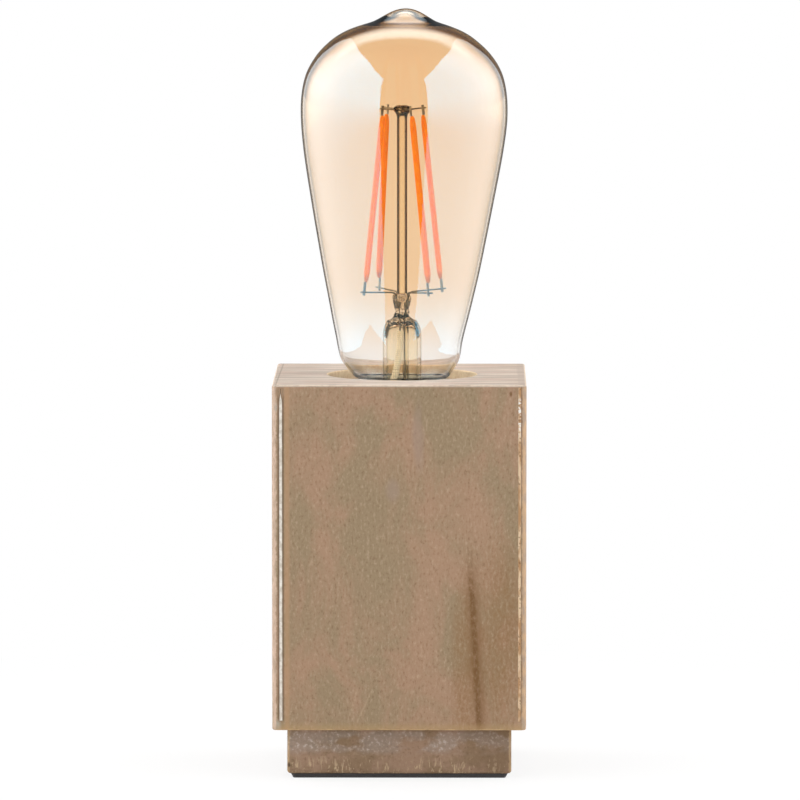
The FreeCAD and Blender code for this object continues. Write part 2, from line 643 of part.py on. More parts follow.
def make_bulb_glass():
    """Blown glass envelope, open at the neck where the stem is sealed in."""
    neck_foot = CAP_RIM - GLASS_NECK_DEPTH
    neck_top = CAP_RIM - 1.8
    neck_inside = GLASS_NECK_RADIUS - GLASS_WALL
    outer, inner = outline_curve(glass_outline()), outline_curve(inside_outline())
    outer_start, inner_start = outer.value(outer.FirstParameter), inner.value(inner.FirstParameter)
    outer_tip, inner_tip = Vector(0, 0, CAP_RIM + GLASS_LENGTH), Vector(0, 0, inside_outline()[-1][1])
    edges = [
        line(inner_start, Vector(neck_inside, 0, neck_top)),
        line(Vector(neck_inside, 0, neck_top), Vector(neck_inside, 0, neck_foot)),
        line(Vector(neck_inside, 0, neck_foot), Vector(GLASS_NECK_RADIUS, 0, neck_foot)),
        line(Vector(GLASS_NECK_RADIUS, 0, neck_foot), Vector(GLASS_NECK_RADIUS, 0, neck_top)),
        line(Vector(GLASS_NECK_RADIUS, 0, neck_top), outer_start),
        outer.toShape(),
        line(outer_tip, inner_tip),
        inner.toShape(),
    ]
    section = Part.Face(Part.Wire(Part.__sortEdges__(edges)))
    save("bulb_glass", section.revolve(ORIGIN, UP, 360))


def make_cap_shell():
    """Rolled metal cap: a plain collar round the glass, the screw thread and a turned-in lip."""
    thread_top = CAP_RIM - CAP_COLLAR_HEIGHT
    collar_foot = thread_top - 0.3
    lip_top = CAP_THREAD_FOOT + 0.1
    least = CAP_THREAD_RADIUS - THREAD_OFFSET
    outer = thread(CAP_THREAD_RADIUS, CAP_THREAD_FOOT, thread_top)
    outer = outer.fuse(cylinder(CAP_COLLAR_RADIUS, collar_foot, CAP_RIM))
    outer = outer.fuse(cone(CAP_LIP_RADIUS, least, CAP_LIP_FOOT, lip_top))
    inner = thread(CAP_THREAD_RADIUS - SHEET, CAP_THREAD_FOOT + 0.3, thread_top)
    inner = inner.fuse(cylinder(CAP_COLLAR_RADIUS - SHEET, collar_foot + 0.1, CAP_RIM))
    inner = inner.fuse(cone(CAP_LIP_RADIUS - SHEET, least - SHEET, CAP_LIP_FOOT, lip_top + 0.3))
    shell = outer.cut(inner)
    save("cap_shell", shell)
    return shell


def make_cap_insulator():
    """Black glass cone that closes the cap and keeps the centre contact apart from the shell."""
    neck = CAP_LIP_RADIUS - SHEET - 0.05
    shelf = CAP_THREAD_FOOT + 0.6
    bore = BUTTON_STEM + 0.1
    foot = CAP_TIP + 1.0
    save("cap_insulator", turned([
        (bore, foot), (5.4, foot), (neck - 0.4, CAP_LIP_FOOT), (neck, CAP_LIP_FOOT + 0.1), (11.3, shelf),
        (11.3, BOARD_Z), (8.0, BOARD_Z), (4.0, CAP_TIP + 4.4), (bore, CAP_TIP + 4.4),
    ]))


def make_tip_contact():
    """Round solder-faced button under the cap, with a stem up into the insulator."""
    save("tip_contact", turned([
        (0, CAP_TIP), (3.4, CAP_TIP), (4.6, CAP_TIP + 0.4), (4.8, CAP_TIP + 0.95),
        (BUTTON_STEM, CAP_TIP + 0.95), (BUTTON_STEM, CAP_TIP + BUTTON_HEIGHT), (0, CAP_TIP + BUTTON_HEIGHT),
    ]))


def make_cap_cement():
    """Ring of cement between the glass neck and the cap's collar."""
    outside = CAP_COLLAR_RADIUS - SHEET
    foot, top = CAP_RIM - CAP_COLLAR_HEIGHT, CAP_RIM - 0.3
    neck_top = CAP_RIM - 1.8
    flare = GLASS_OUTLINE[0][0] - GLASS_NECK_RADIUS
    flare_at_top = GLASS_NECK_RADIUS + flare * (top - neck_top) / (CAP_RIM - neck_top)
    save("cap_cement", turned([
        (GLASS_NECK_RADIUS, foot), (outside, foot), (outside, top), (flare_at_top, top),
        (GLASS_NECK_RADIUS, neck_top),
    ]))


def filament_point(name, z):
    """Point on a filament's centreline at a height."""
    low, high = FILAMENTS[name]
    foot = at_angle(low, FILAMENT_LOW_RADIUS, FILAMENT_LOW_Z)
    head = at_angle(high, FILAMENT_HIGH_RADIUS, FILAMENT_HIGH_Z)
    share = (z - FILAMENT_LOW_Z) / (FILAMENT_HIGH_Z - FILAMENT_LOW_Z)
    return foot + (head - foot) * share


def filament_frame(name):
    """Directions along a filament, across its broad face and out through that face."""
    along = (filament_point(name, FILAMENT_HIGH_Z) - filament_point(name, FILAMENT_LOW_Z)).normalize()
    across = UP.cross(at_angle(FILAMENTS[name][0], 1, 0)).normalize()
    out = across.cross(along).normalize()
    return along, along.cross(out).normalize() * -1, out


def make_filaments():
    """Four coated strips that lean in towards the top, each of oval section with tapered ends."""
    for name in FILAMENTS:
        along, across, out = filament_frame(name)
        low, high = filament_point(name, FILAMENT_LOW_Z), filament_point(name, FILAMENT_HIGH_Z)

        def oval(centre, scale):
            broad = centre + across * (FILAMENT_WIDTH / 2 * scale)
            thin = centre + out * (FILAMENT_DEPTH / 2 * scale)
            return Part.Wire([Part.Ellipse(broad, thin, centre).toShape()])

        shoulder = along * (FILAMENT_TAPER / 3)
        taper = along * FILAMENT_TAPER
        stations = [
            oval(low, 0.5), oval(low + shoulder, 0.8), oval(low + taper, 1.0), oval(high - taper, 1.0),
            oval(high - shoulder, 0.8), oval(high, 0.5),
        ]
        save(name, Part.makeLoft(stations, True, True))


def make_filament_tabs():
    """Flat metal tabs at both ends of every filament, each welded to the side of its wire."""
    tabs = []
    for name in FILAMENTS:
        along, across, out = filament_frame(name)
        runs = (
            (filament_point(name, FILAMENT_LOW_Z), along * (LOW_WIRE_Z - 1.1 - FILAMENT_LOW_Z)),
            (filament_point(name, FILAMENT_HIGH_Z), along * (HIGH_WIRE_Z + 0.9 - FILAMENT_HIGH_Z)),
        )
        for start, run in runs:
            corner = start + across * WIRE_RADIUS - out * (TAB_WIDTH / 2)
            corners = [corner, corner + out * TAB_WIDTH, corner + out * TAB_WIDTH + run, corner + run]
            face = Part.Face(Part.makePolygon(corners + corners[:1]))
            tabs.append(face.extrude(across * TAB_THICKNESS))
    save("filament_tabs", Part.makeCompound(tabs))


def wire_tip(name, z, beyond):
    """Free end of a wire that passes a filament's tab, a little beyond it."""
    centre = filament_point(name, z)
    level = Vector(centre.x, centre.y, 0)
    return centre + level.normalize() * beyond


def mount_wires():
    """The four bare wires that carry the filaments, by name."""
    wires = {}
    low_pairs = {
        "wire_low_left": ("filament_left_front", "filament_left_back", LEFT_FOOT_X),
        "wire_low_right": ("filament_right_back", "filament_right_front", RIGHT_FOOT_X),
    }
    for name, (first, second, foot_x) in low_pairs.items():
        leg_top = Vector(foot_x, 0, PRESS_TOP - 2.6)
        wire = bent_wire([leg_top, Vector(foot_x, 0, STEM_WIRE_TOP)], WIRE_RADIUS)
        for filament, drop in ((first, 0.0), (second, 0.75)):
            azimuth = FILAMENTS[filament][0]
            wire = wire.fuse(bent_wire([
                wire_tip(filament, LOW_WIRE_Z, 1.5),
                at_angle(azimuth, 2.9, LOW_WIRE_Z - 0.6),
                Vector(foot_x * 2, 0, PRESS_TOP - 1.4),
                Vector(foot_x, 0, PRESS_TOP - 3.4 - drop),
            ], WIRE_RADIUS))
        wires[name] = wire
    high_pairs = {
        "wire_high_front": ("filament_left_front", "filament_right_front"),
        "wire_high_back": ("filament_right_back", "filament_left_back"),
    }
    for name, (first, second) in high_pairs.items():
        wires[name] = bent_wire([
            wire_tip(first, HIGH_WIRE_Z, 1.2),
            at_angle(FILAMENTS[first][1], 1.8, HIGH_WIRE_Z - 0.5),
            at_angle(FILAMENTS[second][1], 1.8, HIGH_WIRE_Z - 0.5),
            wire_tip(second, HIGH_WIRE_Z, 1.2),
        ], WIRE_RADIUS)
    return wires


def stem_glass():
    """Flared glass tube, drawn in at its top to a solid press that holds the wires."""
    flare = GLASS_NECK_RADIUS - GLASS_WALL
    foot = CAP_RIM - GLASS_NECK_DEPTH + 0.3
    inside = STEM_RADIUS - STEM_WALL
    ceiling = PRESS_FOOT - 2.2
    return turned([
        (flare - 0.9, foot), (flare, foot), (flare, foot + 0.6), (STEM_RADIUS + 2.6, foot + 1.6),
        (STEM_RADIUS + 1.2, foot + 3.4), (STEM_RADIUS + 0.3, foot + 6.0), (STEM_RADIUS, foot + 9.5),
        (STEM_RADIUS, STEM_SHOULDER), (STEM_RADIUS - 0.4, STEM_SHOULDER + 1.4),
        (STEM_RADIUS - 1.5, STEM_SHOULDER + 3.1), (PRESS_RADIUS + 0.4, PRESS_FOOT - 0.7),
        (PRESS_WAIST + 0.2, PRESS_FOOT + 0.5), (PRESS_WAIST, PRESS_FOOT + 2.0),
        (PRESS_WAIST + 0.3, PRESS_FOOT + 3.4), (PRESS_RADIUS, PRESS_TOP - 2.4),
        (PRESS_RADIUS, PRESS_TOP - 1.2), (PRESS_RADIUS - 0.4, PRESS_TOP - 0.5), (ROD_RADIUS, PRESS_TOP),
        (0, PRESS_TOP), (0, ceiling), (3.5, ceiling), (inside - 0.5, STEM_SHOULDER + 0.9),
        (inside, STEM_SHOULDER - 0.8), (inside, foot + 9.5), (inside + 0.3, foot + 6.0),
        (inside + 1.2, foot + 2.8), (flare - 1.6, foot + 0.7),
    ])


def make_stem():
    """Stem, pillar rod with its bead, and the four mount wires that both hold."""
    wires = mount_wires()
    stem = stem_glass()
    rod = cylinder(ROD_RADIUS, PRESS_TOP, BEAD_FOOT + 0.5).fuse(turned([
        (0, BEAD_FOOT), (ROD_RADIUS, BEAD_FOOT), (BEAD_RADIUS, BEAD_FOOT + 1.3),
        (BEAD_RADIUS, BEAD_TOP - 0.9), (BEAD_RADIUS - 0.9, BEAD_TOP), (0, BEAD_TOP),
    ]))
    for wire in wires.values():
        stem = stem.cut(wire)
        rod = rod.cut(wire)
    save("stem_tube", stem)
    save("pillar_rod", rod.removeSplitter())
    for name, wire in wires.items():
        save(name, wire.removeSplitter())


def make_stem_insides():
    """Exhaust tube, the two wires that run down the stem to the driver board, and the sleeve of one."""
    tube_top = PRESS_FOOT - 2.2
    tube_foot = CAP_RIM - 11.0
    exhaust = cylinder(EXHAUST_RADIUS, tube_foot, tube_top, EXHAUST_X, EXHAUST_Y)
    exhaust = exhaust.cut(cylinder(EXHAUST_BORE, tube_foot + 1.0, tube_top, EXHAUST_X, EXHAUST_Y))
    pinched_end = cone(0.3, EXHAUST_RADIUS, tube_foot - 1.2, tube_foot, EXHAUST_X, EXHAUST_Y)
    save("exhaust_tube", exhaust.fuse(pinched_end))
    left = [
        Vector(LEFT_FOOT_X, 0, STEM_WIRE_TOP), Vector(LEFT_FOOT_X, 0, STEM_WIRE_TOP - 3.5),
        Vector(-1.2, -0.8, CAP_RIM + 5.5), Vector(-2.9, -1.6, CAP_RIM - 2.0),
        Vector(-3.6, -1.8, CAP_RIM - 9.5), Vector(-5.2, -1.8, BOARD_TOP + 2.0),
        Vector(-5.2, -1.8, BOARD_TOP),
    ]
    save("stem_wire_left", bent_wire(left, WIRE_RADIUS))
    sleeve = [Vector(LEFT_FOOT_X, 0, STEM_WIRE_TOP - 0.3)] + left[1:5]
    sleeve[-1] = sleeve[-1] + (left[3] - left[4]) * 0.1
    save("wire_sleeve", bent_wire(sleeve, SLEEVE_RADIUS).cut(bent_wire(left, WIRE_RADIUS + 0.05)))
    save("stem_wire_right", bent_wire([
        Vector(RIGHT_FOOT_X, 0, STEM_WIRE_TOP), Vector(RIGHT_FOOT_X, 0, CAP_RIM + 1.0),
        Vector(2.4, -1.0, CAP_RIM - 8.0), Vector(5.2, -1.8, BOARD_TOP + 2.0), Vector(5.2, -1.8, BOARD_TOP),
    ], WIRE_RADIUS))


def make_driver(cap_shell):
    """Round circuit board on the insulator, with its parts and its wires to the cap's two contacts."""
    save("driver_board", cylinder(BOARD_RADIUS, BOARD_Z, BOARD_TOP).cut(cylinder(0.5, BOARD_Z, BOARD_TOP)))
    save("driver_capacitor", cylinder(2.5, BOARD_TOP, BOARD_TOP + 4.6, 0, -7.0))
    save("driver_rectifier", box(4.8, 4.0, BOARD_TOP, BOARD_TOP + 1.8, 0, 7.2))
    save("driver_chip", box(3.9, 4.9, BOARD_TOP, BOARD_TOP + 1.5, 7.4, 4.2))
    save("driver_resistor", box(1.6, 3.2, BOARD_TOP, BOARD_TOP + 0.7, -7.6, 3.4))
    save("tip_wire", bent_wire([
        Vector(0, 0, CAP_TIP + BUTTON_HEIGHT), Vector(0, 0, BOARD_TOP + 1.2),
        Vector(2.4, 0, BOARD_TOP + 1.2), Vector(2.4, 0, BOARD_TOP),
    ], WIRE_RADIUS))
    corner = Vector(-9.6, 0, BOARD_TOP + 3.4)
    into_wall = Vector(-CAP_THREAD_RADIUS + 0.1, 0, BOARD_TOP + 3.4)
    rim_wire = bent_wire([Vector(-9.6, 0, BOARD_TOP), corner, into_wall], WIRE_RADIUS)
    pieces = rim_wire.cut(cap_shell).Solids
    save("rim_wire", max(pieces, key=lambda piece: piece.Volume))


def main():
    """Makes every sub-part."""
    make_foot_pad()
    make_plinth()
    make_plinth_screws()
    make_wood_block()
    make_edge_strips()
    make_cable_grommet()
    make_tube_and_nut()
    make_holder_dome()
    make_dome_grub_screw()
    make_holder_skirt()
    make_holder_insert()
    make_screw_shell()
    make_shell_rivets()
    make_contacts()
    make_terminal_screws()
    make_centre_tongue()
    make_wire_connectors()
    make_leads()
    make_bulb_glass()
    cap_shell = make_cap_shell()
    make_cap_insulator()
    make_tip_contact()
    make_cap_cement()
    make_filaments()
    make_filament_tabs()
    make_stem()
    make_stem_insides()
    make_driver(cap_shell)


main()
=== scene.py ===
"""Looks of a bare bulb table lamp: a worn wooden block with a filament bulb standing out of it.

Lengths are in millimetres and go into the scene in metres. The front is -Y and +Z is up.
"""

import json
import math

import bmesh
import bpy
import numpy as np
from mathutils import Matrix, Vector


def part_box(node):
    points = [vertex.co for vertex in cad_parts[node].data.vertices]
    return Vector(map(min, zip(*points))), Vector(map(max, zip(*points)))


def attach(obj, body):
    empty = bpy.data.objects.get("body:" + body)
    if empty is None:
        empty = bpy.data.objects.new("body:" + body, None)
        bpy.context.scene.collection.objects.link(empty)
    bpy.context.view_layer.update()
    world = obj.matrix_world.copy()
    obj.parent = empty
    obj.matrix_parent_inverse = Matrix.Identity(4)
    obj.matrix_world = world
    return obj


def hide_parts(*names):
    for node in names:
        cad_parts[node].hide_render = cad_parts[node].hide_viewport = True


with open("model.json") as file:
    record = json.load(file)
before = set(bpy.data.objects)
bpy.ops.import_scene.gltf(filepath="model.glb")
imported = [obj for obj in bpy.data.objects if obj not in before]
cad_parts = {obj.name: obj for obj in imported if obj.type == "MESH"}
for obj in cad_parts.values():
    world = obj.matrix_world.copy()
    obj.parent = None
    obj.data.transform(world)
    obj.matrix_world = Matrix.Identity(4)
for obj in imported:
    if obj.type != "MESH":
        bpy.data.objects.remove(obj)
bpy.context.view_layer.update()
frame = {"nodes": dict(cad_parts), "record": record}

MM = 0.001
TURN = 2 * math.pi


def corners_of(node):
    """Lowest and highest corner of a node, in millimetres."""
    return tuple(np.array(corner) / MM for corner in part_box(node))


# --- driving sizes, read from the frame ------------------------------------------------------
PAD_HIGH = corners_of("foot_pad")[1]
PLINTH_LOW, PLINTH_HIGH = corners_of("plinth")
BLOCK_LOW, BLOCK_HIGH = corners_of("wood_block")
CAP_LOW, CAP_HIGH = corners_of("cap_shell")
GROMMET_LOW, GROMMET_HIGH = corners_of("cable_grommet")

HALF = BLOCK_HIGH[0]
BLOCK_TOP = BLOCK_HIGH[2]
BLOCK_FOOT = BLOCK_LOW[2]
CAP_RIM = CAP_HIGH[2]
RECESS_FLOOR = corners_of("holder_dome")[0][2]
GLASS_TIP = corners_of("bulb_glass")[1][2]
BORE_X = (CAP_LOW[0] + CAP_HIGH[0]) / 2
STRIP_X = sum(corners_of("edge_strip_left"))[0] / 2
STRIP_TOP = corners_of("edge_strip_left")[1][2]

# --- sizes that the frame's boxes don't give -------------------------------------------------
CORNER_EASES = (1.8, 1.6, 1.3, 1.3)
TOP_EASE = 0.7
FOOT_EASE = 0.5
PLINTH_EASE = 1.2
RECESS_RADIUS = 23.0
TUBE_HOLE = 5.3
WEB = 10.0
CHAMBER_RADIUS = 11.0
SCREW_OFFSET = 26.0
SCREW_TIP = PLINTH_LOW[2] + 35.0
GLASS_WALL = 0.9
NECK_RADIUS = 11.5
NECK_DEPTH = 10.0
STRIPS = ("edge_strip_left", "edge_strip_right")

# How far a strip's right border wanders, and how far its face sinks and waves.
STRIP_WANDER, STRIP_SINK = 0.06, 0.03

# Bites out of worn wood edges: their spacing, and how deep they go for one unit of ripple.
WIDE_BITE, WIDE_DEPTH = 5.0, 0.16
FINE_BITE, FINE_DEPTH = 2.2, 0.12


# --- numbers that vary smoothly ---------------------------------------------------------------


def ripple(points, wavelength, seed, waves=24):
    """Smooth random value of about -1 to 1 at each point: a sum of plane waves.

    Each wave is sin(k.p + phase), with k of random direction and a length near 1 / wavelength.
    """
    dice = np.random.default_rng(seed)
    direction = dice.normal(size=(waves, 3))
    direction /= np.linalg.norm(direction, axis=1)[:, None]
    k = direction * (TURN / wavelength * dice.uniform(0.6, 1.4, waves))[:, None]
    phase = dice.uniform(0, TURN, waves)
    return np.sin(np.asarray(points) @ k.T + phase).sum(-1) / math.sqrt(waves)


def ramp(value, low, high):
    """0 below low, 1 above high and a smooth step between."""
    share = np.clip((value - low) / (high - low), 0, 1)
    return share * share * (3 - 2 * share)


# --- surfaces ---------------------------------------------------------------------------------


def surface(name, rows, loop=False):
    """Closed mesh of a grid of points: row i, column j.

    The columns close on themselves. With loop the last row joins the first, and without it the
    first and last rows each lie in one point, which becomes a pole. Faces are turned outwards by
    the sign of the enclosed volume, the sum of a.(b x c) + a.(c x d) over the quads.
    """
    rows = np.asarray(rows, float)
    index = np.arange(rows.shape[0] * rows.shape[1]).reshape(rows.shape[:2])
    here = index if loop else index[:-1]
    above = np.roll(index, -1, 0) if loop else index[1:]
    quads = np.stack([here, np.roll(here, -1, 1), np.roll(above, -1, 1), above], -1).reshape(-1, 4)
    points = rows.reshape(-1, 3)
    a, b, c, d = (points[quads[:, side]] for side in range(4))
    volume = np.einsum("ij,ij->", a, np.cross(b, c) + np.cross(c, d))
    if volume < 0:
        quads = quads[:, ::-1]
    mesh = bpy.data.meshes.new(name)
    mesh.vertices.add(len(points))
    mesh.vertices.foreach_set("co", (points * MM).ravel())
    mesh.loops.add(quads.size)
    mesh.loops.foreach_set("vertex_index", quads.ravel())
    mesh.polygons.add(len(quads))
    mesh.polygons.foreach_set("loop_start", np.arange(len(quads)) * 4)
    mesh.update(calc_edges=True)
    sculpt = bmesh.new()
    sculpt.from_mesh(mesh)
    bmesh.ops.remove_doubles(sculpt, verts=sculpt.verts, dist=1e-7)
    sculpt.to_mesh(mesh)
    sculpt.free()
    return mesh


def at_height(plan, z):
    """Points of a plan, all at one height."""
    return np.concatenate([plan, np.full((len(plan), 1), z)], 1)


def reshaped(mesh, move):
    """Mesh with its points, in millimetres, where move puts them."""
    flat = np.zeros(len(mesh.vertices) * 3)
    mesh.vertices.foreach_get("co", flat)
    moved = np.asarray(move(*(flat.reshape(-1, 3) / MM).T))
    mesh.vertices.foreach_set("co", (moved.T * MM).ravel())
    mesh.update()
    return mesh


def joined(name, meshes):
    """One mesh of several closed ones."""
    sculpt = bmesh.new()
    for mesh in meshes:
        sculpt.from_mesh(mesh)
    whole = bpy.data.meshes.new(name)
    sculpt.to_mesh(whole)
    sculpt.free()
    return whole


def smooth(mesh, sharp):
    """Smooth shading, with edges over that angle kept sharp."""
    mesh.polygons.foreach_set("use_smooth", [True] * len(mesh.polygons))
    mesh.set_sharp_from_angle(angle=math.radians(sharp))
    return mesh


def turned(name, outline, sides, centre=(BORE_X, 0.0)):
    """Surface of revolution: each (r, z) of the outline becomes the circle (r cos u, r sin u, z).

    The outline starts and ends on the axis.
    """
    outline = np.asarray(outline, float)
    angle = np.arange(sides) / sides * TURN
    around = np.stack([np.cos(angle), np.sin(angle)], -1)
    rows = np.zeros((len(outline), sides, 3))
    rows[..., :2] = outline[:, :1, None] * around + np.asarray(centre)
    rows[..., 2] = outline[:, 1:]
    return surface(name, rows)


def soft_path(points, steps):
    """Quadratic B-spline through the middles of the runs of points, kept to its two ends."""
    points = np.asarray(points, float)
    middles = (points[:-1] + points[1:]) / 2
    t = np.linspace(0, 1, steps, endpoint=False)[:, None]
    pieces = []
    knots = np.concatenate([points[:1], middles[1:-1], points[-1:]])
    for i in range(1, len(points) - 1):
        a, p, b = knots[i - 1], points[i], knots[i]
        pieces.append((1 - t) ** 2 * a + 2 * t * (1 - t) * p + t * t * b)
    return np.concatenate(pieces + [points[-1:]])


def carried(name, path, section, scale, reference=(0.21, 0.93, 0.31)):
    """Section carried along a path: centre + x side + y lift, with both ends closed in a point.

    side is the path's direction crossed with a fixed reference, and lift is side crossed with the
    direction. scale gives each station's size.
    """
    path = np.asarray(path, float)
    along = np.gradient(path, axis=0)
    along /= np.linalg.norm(along, axis=1)[:, None]
    side = np.cross(along, reference)
    side /= np.linalg.norm(side, axis=1)[:, None]
    lift = np.cross(side, along)
    rows = (path[:, None] + scale[:, None, None] * (section[None, :, :1] * side[:, None]
                                                   + section[None, :, 1:] * lift[:, None]))
    start = np.broadcast_to(path[0], rows[:1].shape)
    end = np.broadcast_to(path[-1], rows[:1].shape)
    return surface(name, np.concatenate([start, rows, end]))


def circle(radius, sides):
    """Points of a circle."""
    angle = np.arange(sides) / sides * TURN
    return radius * np.stack([np.cos(angle), np.sin(angle)], -1)


def square_outline(half, eases, step, corner_steps=8):
    """Square with round corners, as points and outward normals, anticlockwise from the front left.

    A side runs straight between its two corners, and a corner of radius e is the arc
    centre + e (cos u, sin u).
    """
    points, normals = [], []
    for quarter, ease in enumerate(eases):
        start = math.pi + quarter * math.pi / 2
        sign = np.sign([math.cos(start + math.pi / 4), math.sin(start + math.pi / 4)])
        angle = start + np.linspace(0, math.pi / 2, corner_steps)
        normal = np.stack([np.cos(angle), np.sin(angle)], -1)
        arc = sign * (half - ease) + ease * normal
        next_ease = eases[(quarter + 1) % len(eases)]
        count = int((2 * half - ease - next_ease) / step)
        run = np.array([-normal[-1][1], normal[-1][0]])
        share = np.arange(1, count)[:, None] / count
        side = arc[-1] + run * share * (2 * half - ease - next_ease)
        points += [arc, side]
        normals += [normal, np.broadcast_to(normal[-1], side.shape)]
    return np.concatenate(points), np.concatenate(normals)


def cut_away(mesh, cutters):
    """Mesh with the closed cutter meshes taken out of it."""
    body = bpy.data.objects.new("stock", mesh)
    tool = bpy.data.objects.new("tool", joined("tool", cutters))
    for item in (body, tool):
        bpy.context.scene.collection.objects.link(item)
    saw = body.modifiers.new("saw", "BOOLEAN")
    saw.object, saw.operation, saw.solver = tool, "DIFFERENCE", "MANIFOLD"
    bpy.context.view_layer.update()
    whole = bpy.data.meshes.new_from_object(body.evaluated_get(bpy.context.evaluated_depsgraph_get()))
    whole.name = mesh.name
    for item in (body, tool):
        bpy.data.objects.remove(item)
    return whole


def bar(name, low, high):
    """Plain block between two corners, as a cutter."""
    plan = np.array([(low[0], low[1]), (high[0], low[1]), (high[0], high[1]), (low[0], high[1])])
    foot, top = at_height(plan, low[2]), at_height(plan, high[2])
    return surface(name, [foot * 0 + foot.mean(0), foot, top, top * 0 + top.mean(0)])


def turned_to_back(mesh, height):
    """Mesh of revolution laid down along +Y at a height: (x, y, z) becomes (x, z, height - y)."""
    return reshaped(mesh, lambda x, y, z: (x, z, height - y))


# --- finishes ---------------------------------------------------------------------------------


def ink(red, green, blue):
    """Colour as a shader takes it, from its three screen values of 0 to 255."""
    screen = np.array([red, green, blue]) / 255
    linear = np.where(screen <= 0.04045, screen / 12.92, ((screen + 0.055) / 1.055) ** 2.4)
    return (*linear, 1.0)


class Value:
    """A shader socket that Python's arithmetic works on: each operator adds one Math node."""

    def __init__(self, finish, socket):
        self.finish, self.socket = finish, socket

    def calc(self, operation, *terms):
        """Adds a Math node on these terms and gives its result."""
        return self.finish.node("ShaderNodeMath", {"operation": operation}, dict(enumerate(terms)))

    def __add__(self, other):
        return self.calc("ADD", self, other)

    def __sub__(self, other):
        return self.calc("SUBTRACT", self, other)

    def __rsub__(self, other):
        return self.calc("SUBTRACT", other, self)

    def __mul__(self, other):
        return self.calc("MULTIPLY", self, other)

    def __truediv__(self, other):
        return self.calc("DIVIDE", self, other)

    def __pow__(self, other):
        return self.calc("POWER", self, other)

    def __abs__(self):
        return self.calc("ABSOLUTE", self)

    __radd__, __rmul__ = __add__, __mul__

    def least(self, other):
        """The smaller of the two."""
        return self.calc("MINIMUM", self, other)

    def most(self, other):
        """The larger of the two."""
        return self.calc("MAXIMUM", self, other)

    def sine(self):
        """Sine of the value in radians."""
        return self.calc("SINE", self)

    def ramp(self, low, high, start=0.0, end=1.0):
        """start below low, end above high and a smooth step between."""
        settings = {"interpolation_type": "SMOOTHSTEP"}
        limits = {0: self, 1: low, 2: high, 3: start, 4: end}
        return self.finish.node("ShaderNodeMapRange", settings, limits)


class Finish:
    """One material, its shader and the nodes that vary it over the piece."""

    def __init__(self, name, **constants):
        self.material = bpy.data.materials.new(name)
        self.material.use_nodes = True
        self.tree = self.material.node_tree
        self.shader = self.tree.nodes["Principled BSDF"]
        for socket, value in constants.items():
            self.shader.inputs[socket.replace("_", " ")].default_value = value

    def node(self, kind, settings=None, sockets=None, out=0):
        """Adds a node, makes its settings, fills its sockets and gives one output as a Value."""
        node = self.tree.nodes.new(kind)
        for name, value in (settings or {}).items():
            setattr(node, name, value)
        for key, value in (sockets or {}).items():
            if isinstance(value, Value):
                self.tree.links.new(value.socket, node.inputs[key])
            else:
                node.inputs[key].default_value = value
        return Value(self, node.outputs[out])

    def feed(self, socket, value):
        """Links a value to the shader."""
        self.tree.links.new(value.socket, self.shader.inputs[socket])

    def place(self):
        """Position on the piece, in millimetres."""
        where = self.node("ShaderNodeTexCoord", out=3)
        return self.stretch(where, (1 / MM,) * 3)

    def stretch(self, point, factors):
        """Position multiplied by three factors."""
        return self.node("ShaderNodeVectorMath", {"operation": "MULTIPLY"}, {0: point, 1: factors})

    def shift(self, point, steps):
        """Position moved by three steps."""
        return self.node("ShaderNodeVectorMath", {"operation": "ADD"}, {0: point, 1: steps})

    def parts(self, point):
        """x, y and z of a position."""
        split = self.node("ShaderNodeSeparateXYZ", None, {0: point})
        return tuple(Value(self, socket) for socket in split.socket.node.outputs)

    def noise(self, point, per_mm, detail=2.0, roughness=0.5, bend=0.0):
        """Cloudy noise of about 0 to 1, with that many cycles in a millimetre."""
        sockets = {"Vector": point, "Scale": per_mm, "Detail": detail}
        sockets |= {"Roughness": roughness, "Distortion": bend}
        return self.node("ShaderNodeTexNoise", None, sockets)

    def spot(self, across, up, centre, size):
        """1 at the centre of an oval on a face and 0 beyond it, with a soft edge."""
        (a, b), (width, height) = centre, size
        wide, tall = (across - a) / width, (up - b) / height
        return ((wide * wide + tall * tall) ** 0.5).ramp(1.0, 0.3)

    def stroke(self, across, up, start, end, width):
        """1 along a straight stroke between two points of a face, and 0 beyond its width."""
        (a, b), (c, d) = start, end
        run, rise = c - a, d - b
        along = ((across - a) * run + (up - b) * rise) / (run * run + rise * rise)
        along = along.least(1.0).most(0.0)
        wide, tall = across - a - along * run, up - b - along * rise
        return ((wide * wide + tall * tall) ** 0.5).ramp(width, width * 0.3)

    def mix(self, factor, first, second):
        """Colour between two colours."""
        return self.node("ShaderNodeMix", {"data_type": "RGBA"}, {0: factor, 6: first, 7: second}, out=2)

    def done(self, roughness, height, depth):
        """The material, once it has its roughness and a relief of that depth in millimetres."""
        self.feed("Roughness", roughness)
        sockets = {"Strength": 1.0, "Distance": depth * MM, "Height": height}
        self.feed("Normal", self.node("ShaderNodeBump", None, sockets))
        return self.material


# --- looks of each material -------------------------------------------------------------------


def square_distances(x, y, z, low, high):
    """Distances of a point from a square block's nearest side, next side, top and foot."""
    side = abs(x).most(abs(y)) * -1.0 + high[0]
    next_side = abs(x).least(abs(y)) * -1.0 + high[0]
    return side, next_side, z * -1.0 + high[2], z - low[2]


def edge_bands(where, low, high, ragged, width):
    """How far a point lies in the upright, upper and lower edge bands of a square block."""
    side, next_side, top, foot = square_distances(*where, low, high)
    reach = ragged * width + width * 0.45
    upright = (next_side / reach).ramp(0.7, 1.1, 1.0, 0.0)
    upper = (side.most(top) / (reach * 0.32)).ramp(0.6, 1.3, 1.0, 0.0)
    lower = (side.most(foot) / (reach * 0.3)).ramp(0.6, 1.3, 1.0, 0.0)
    return upright, upper, lower


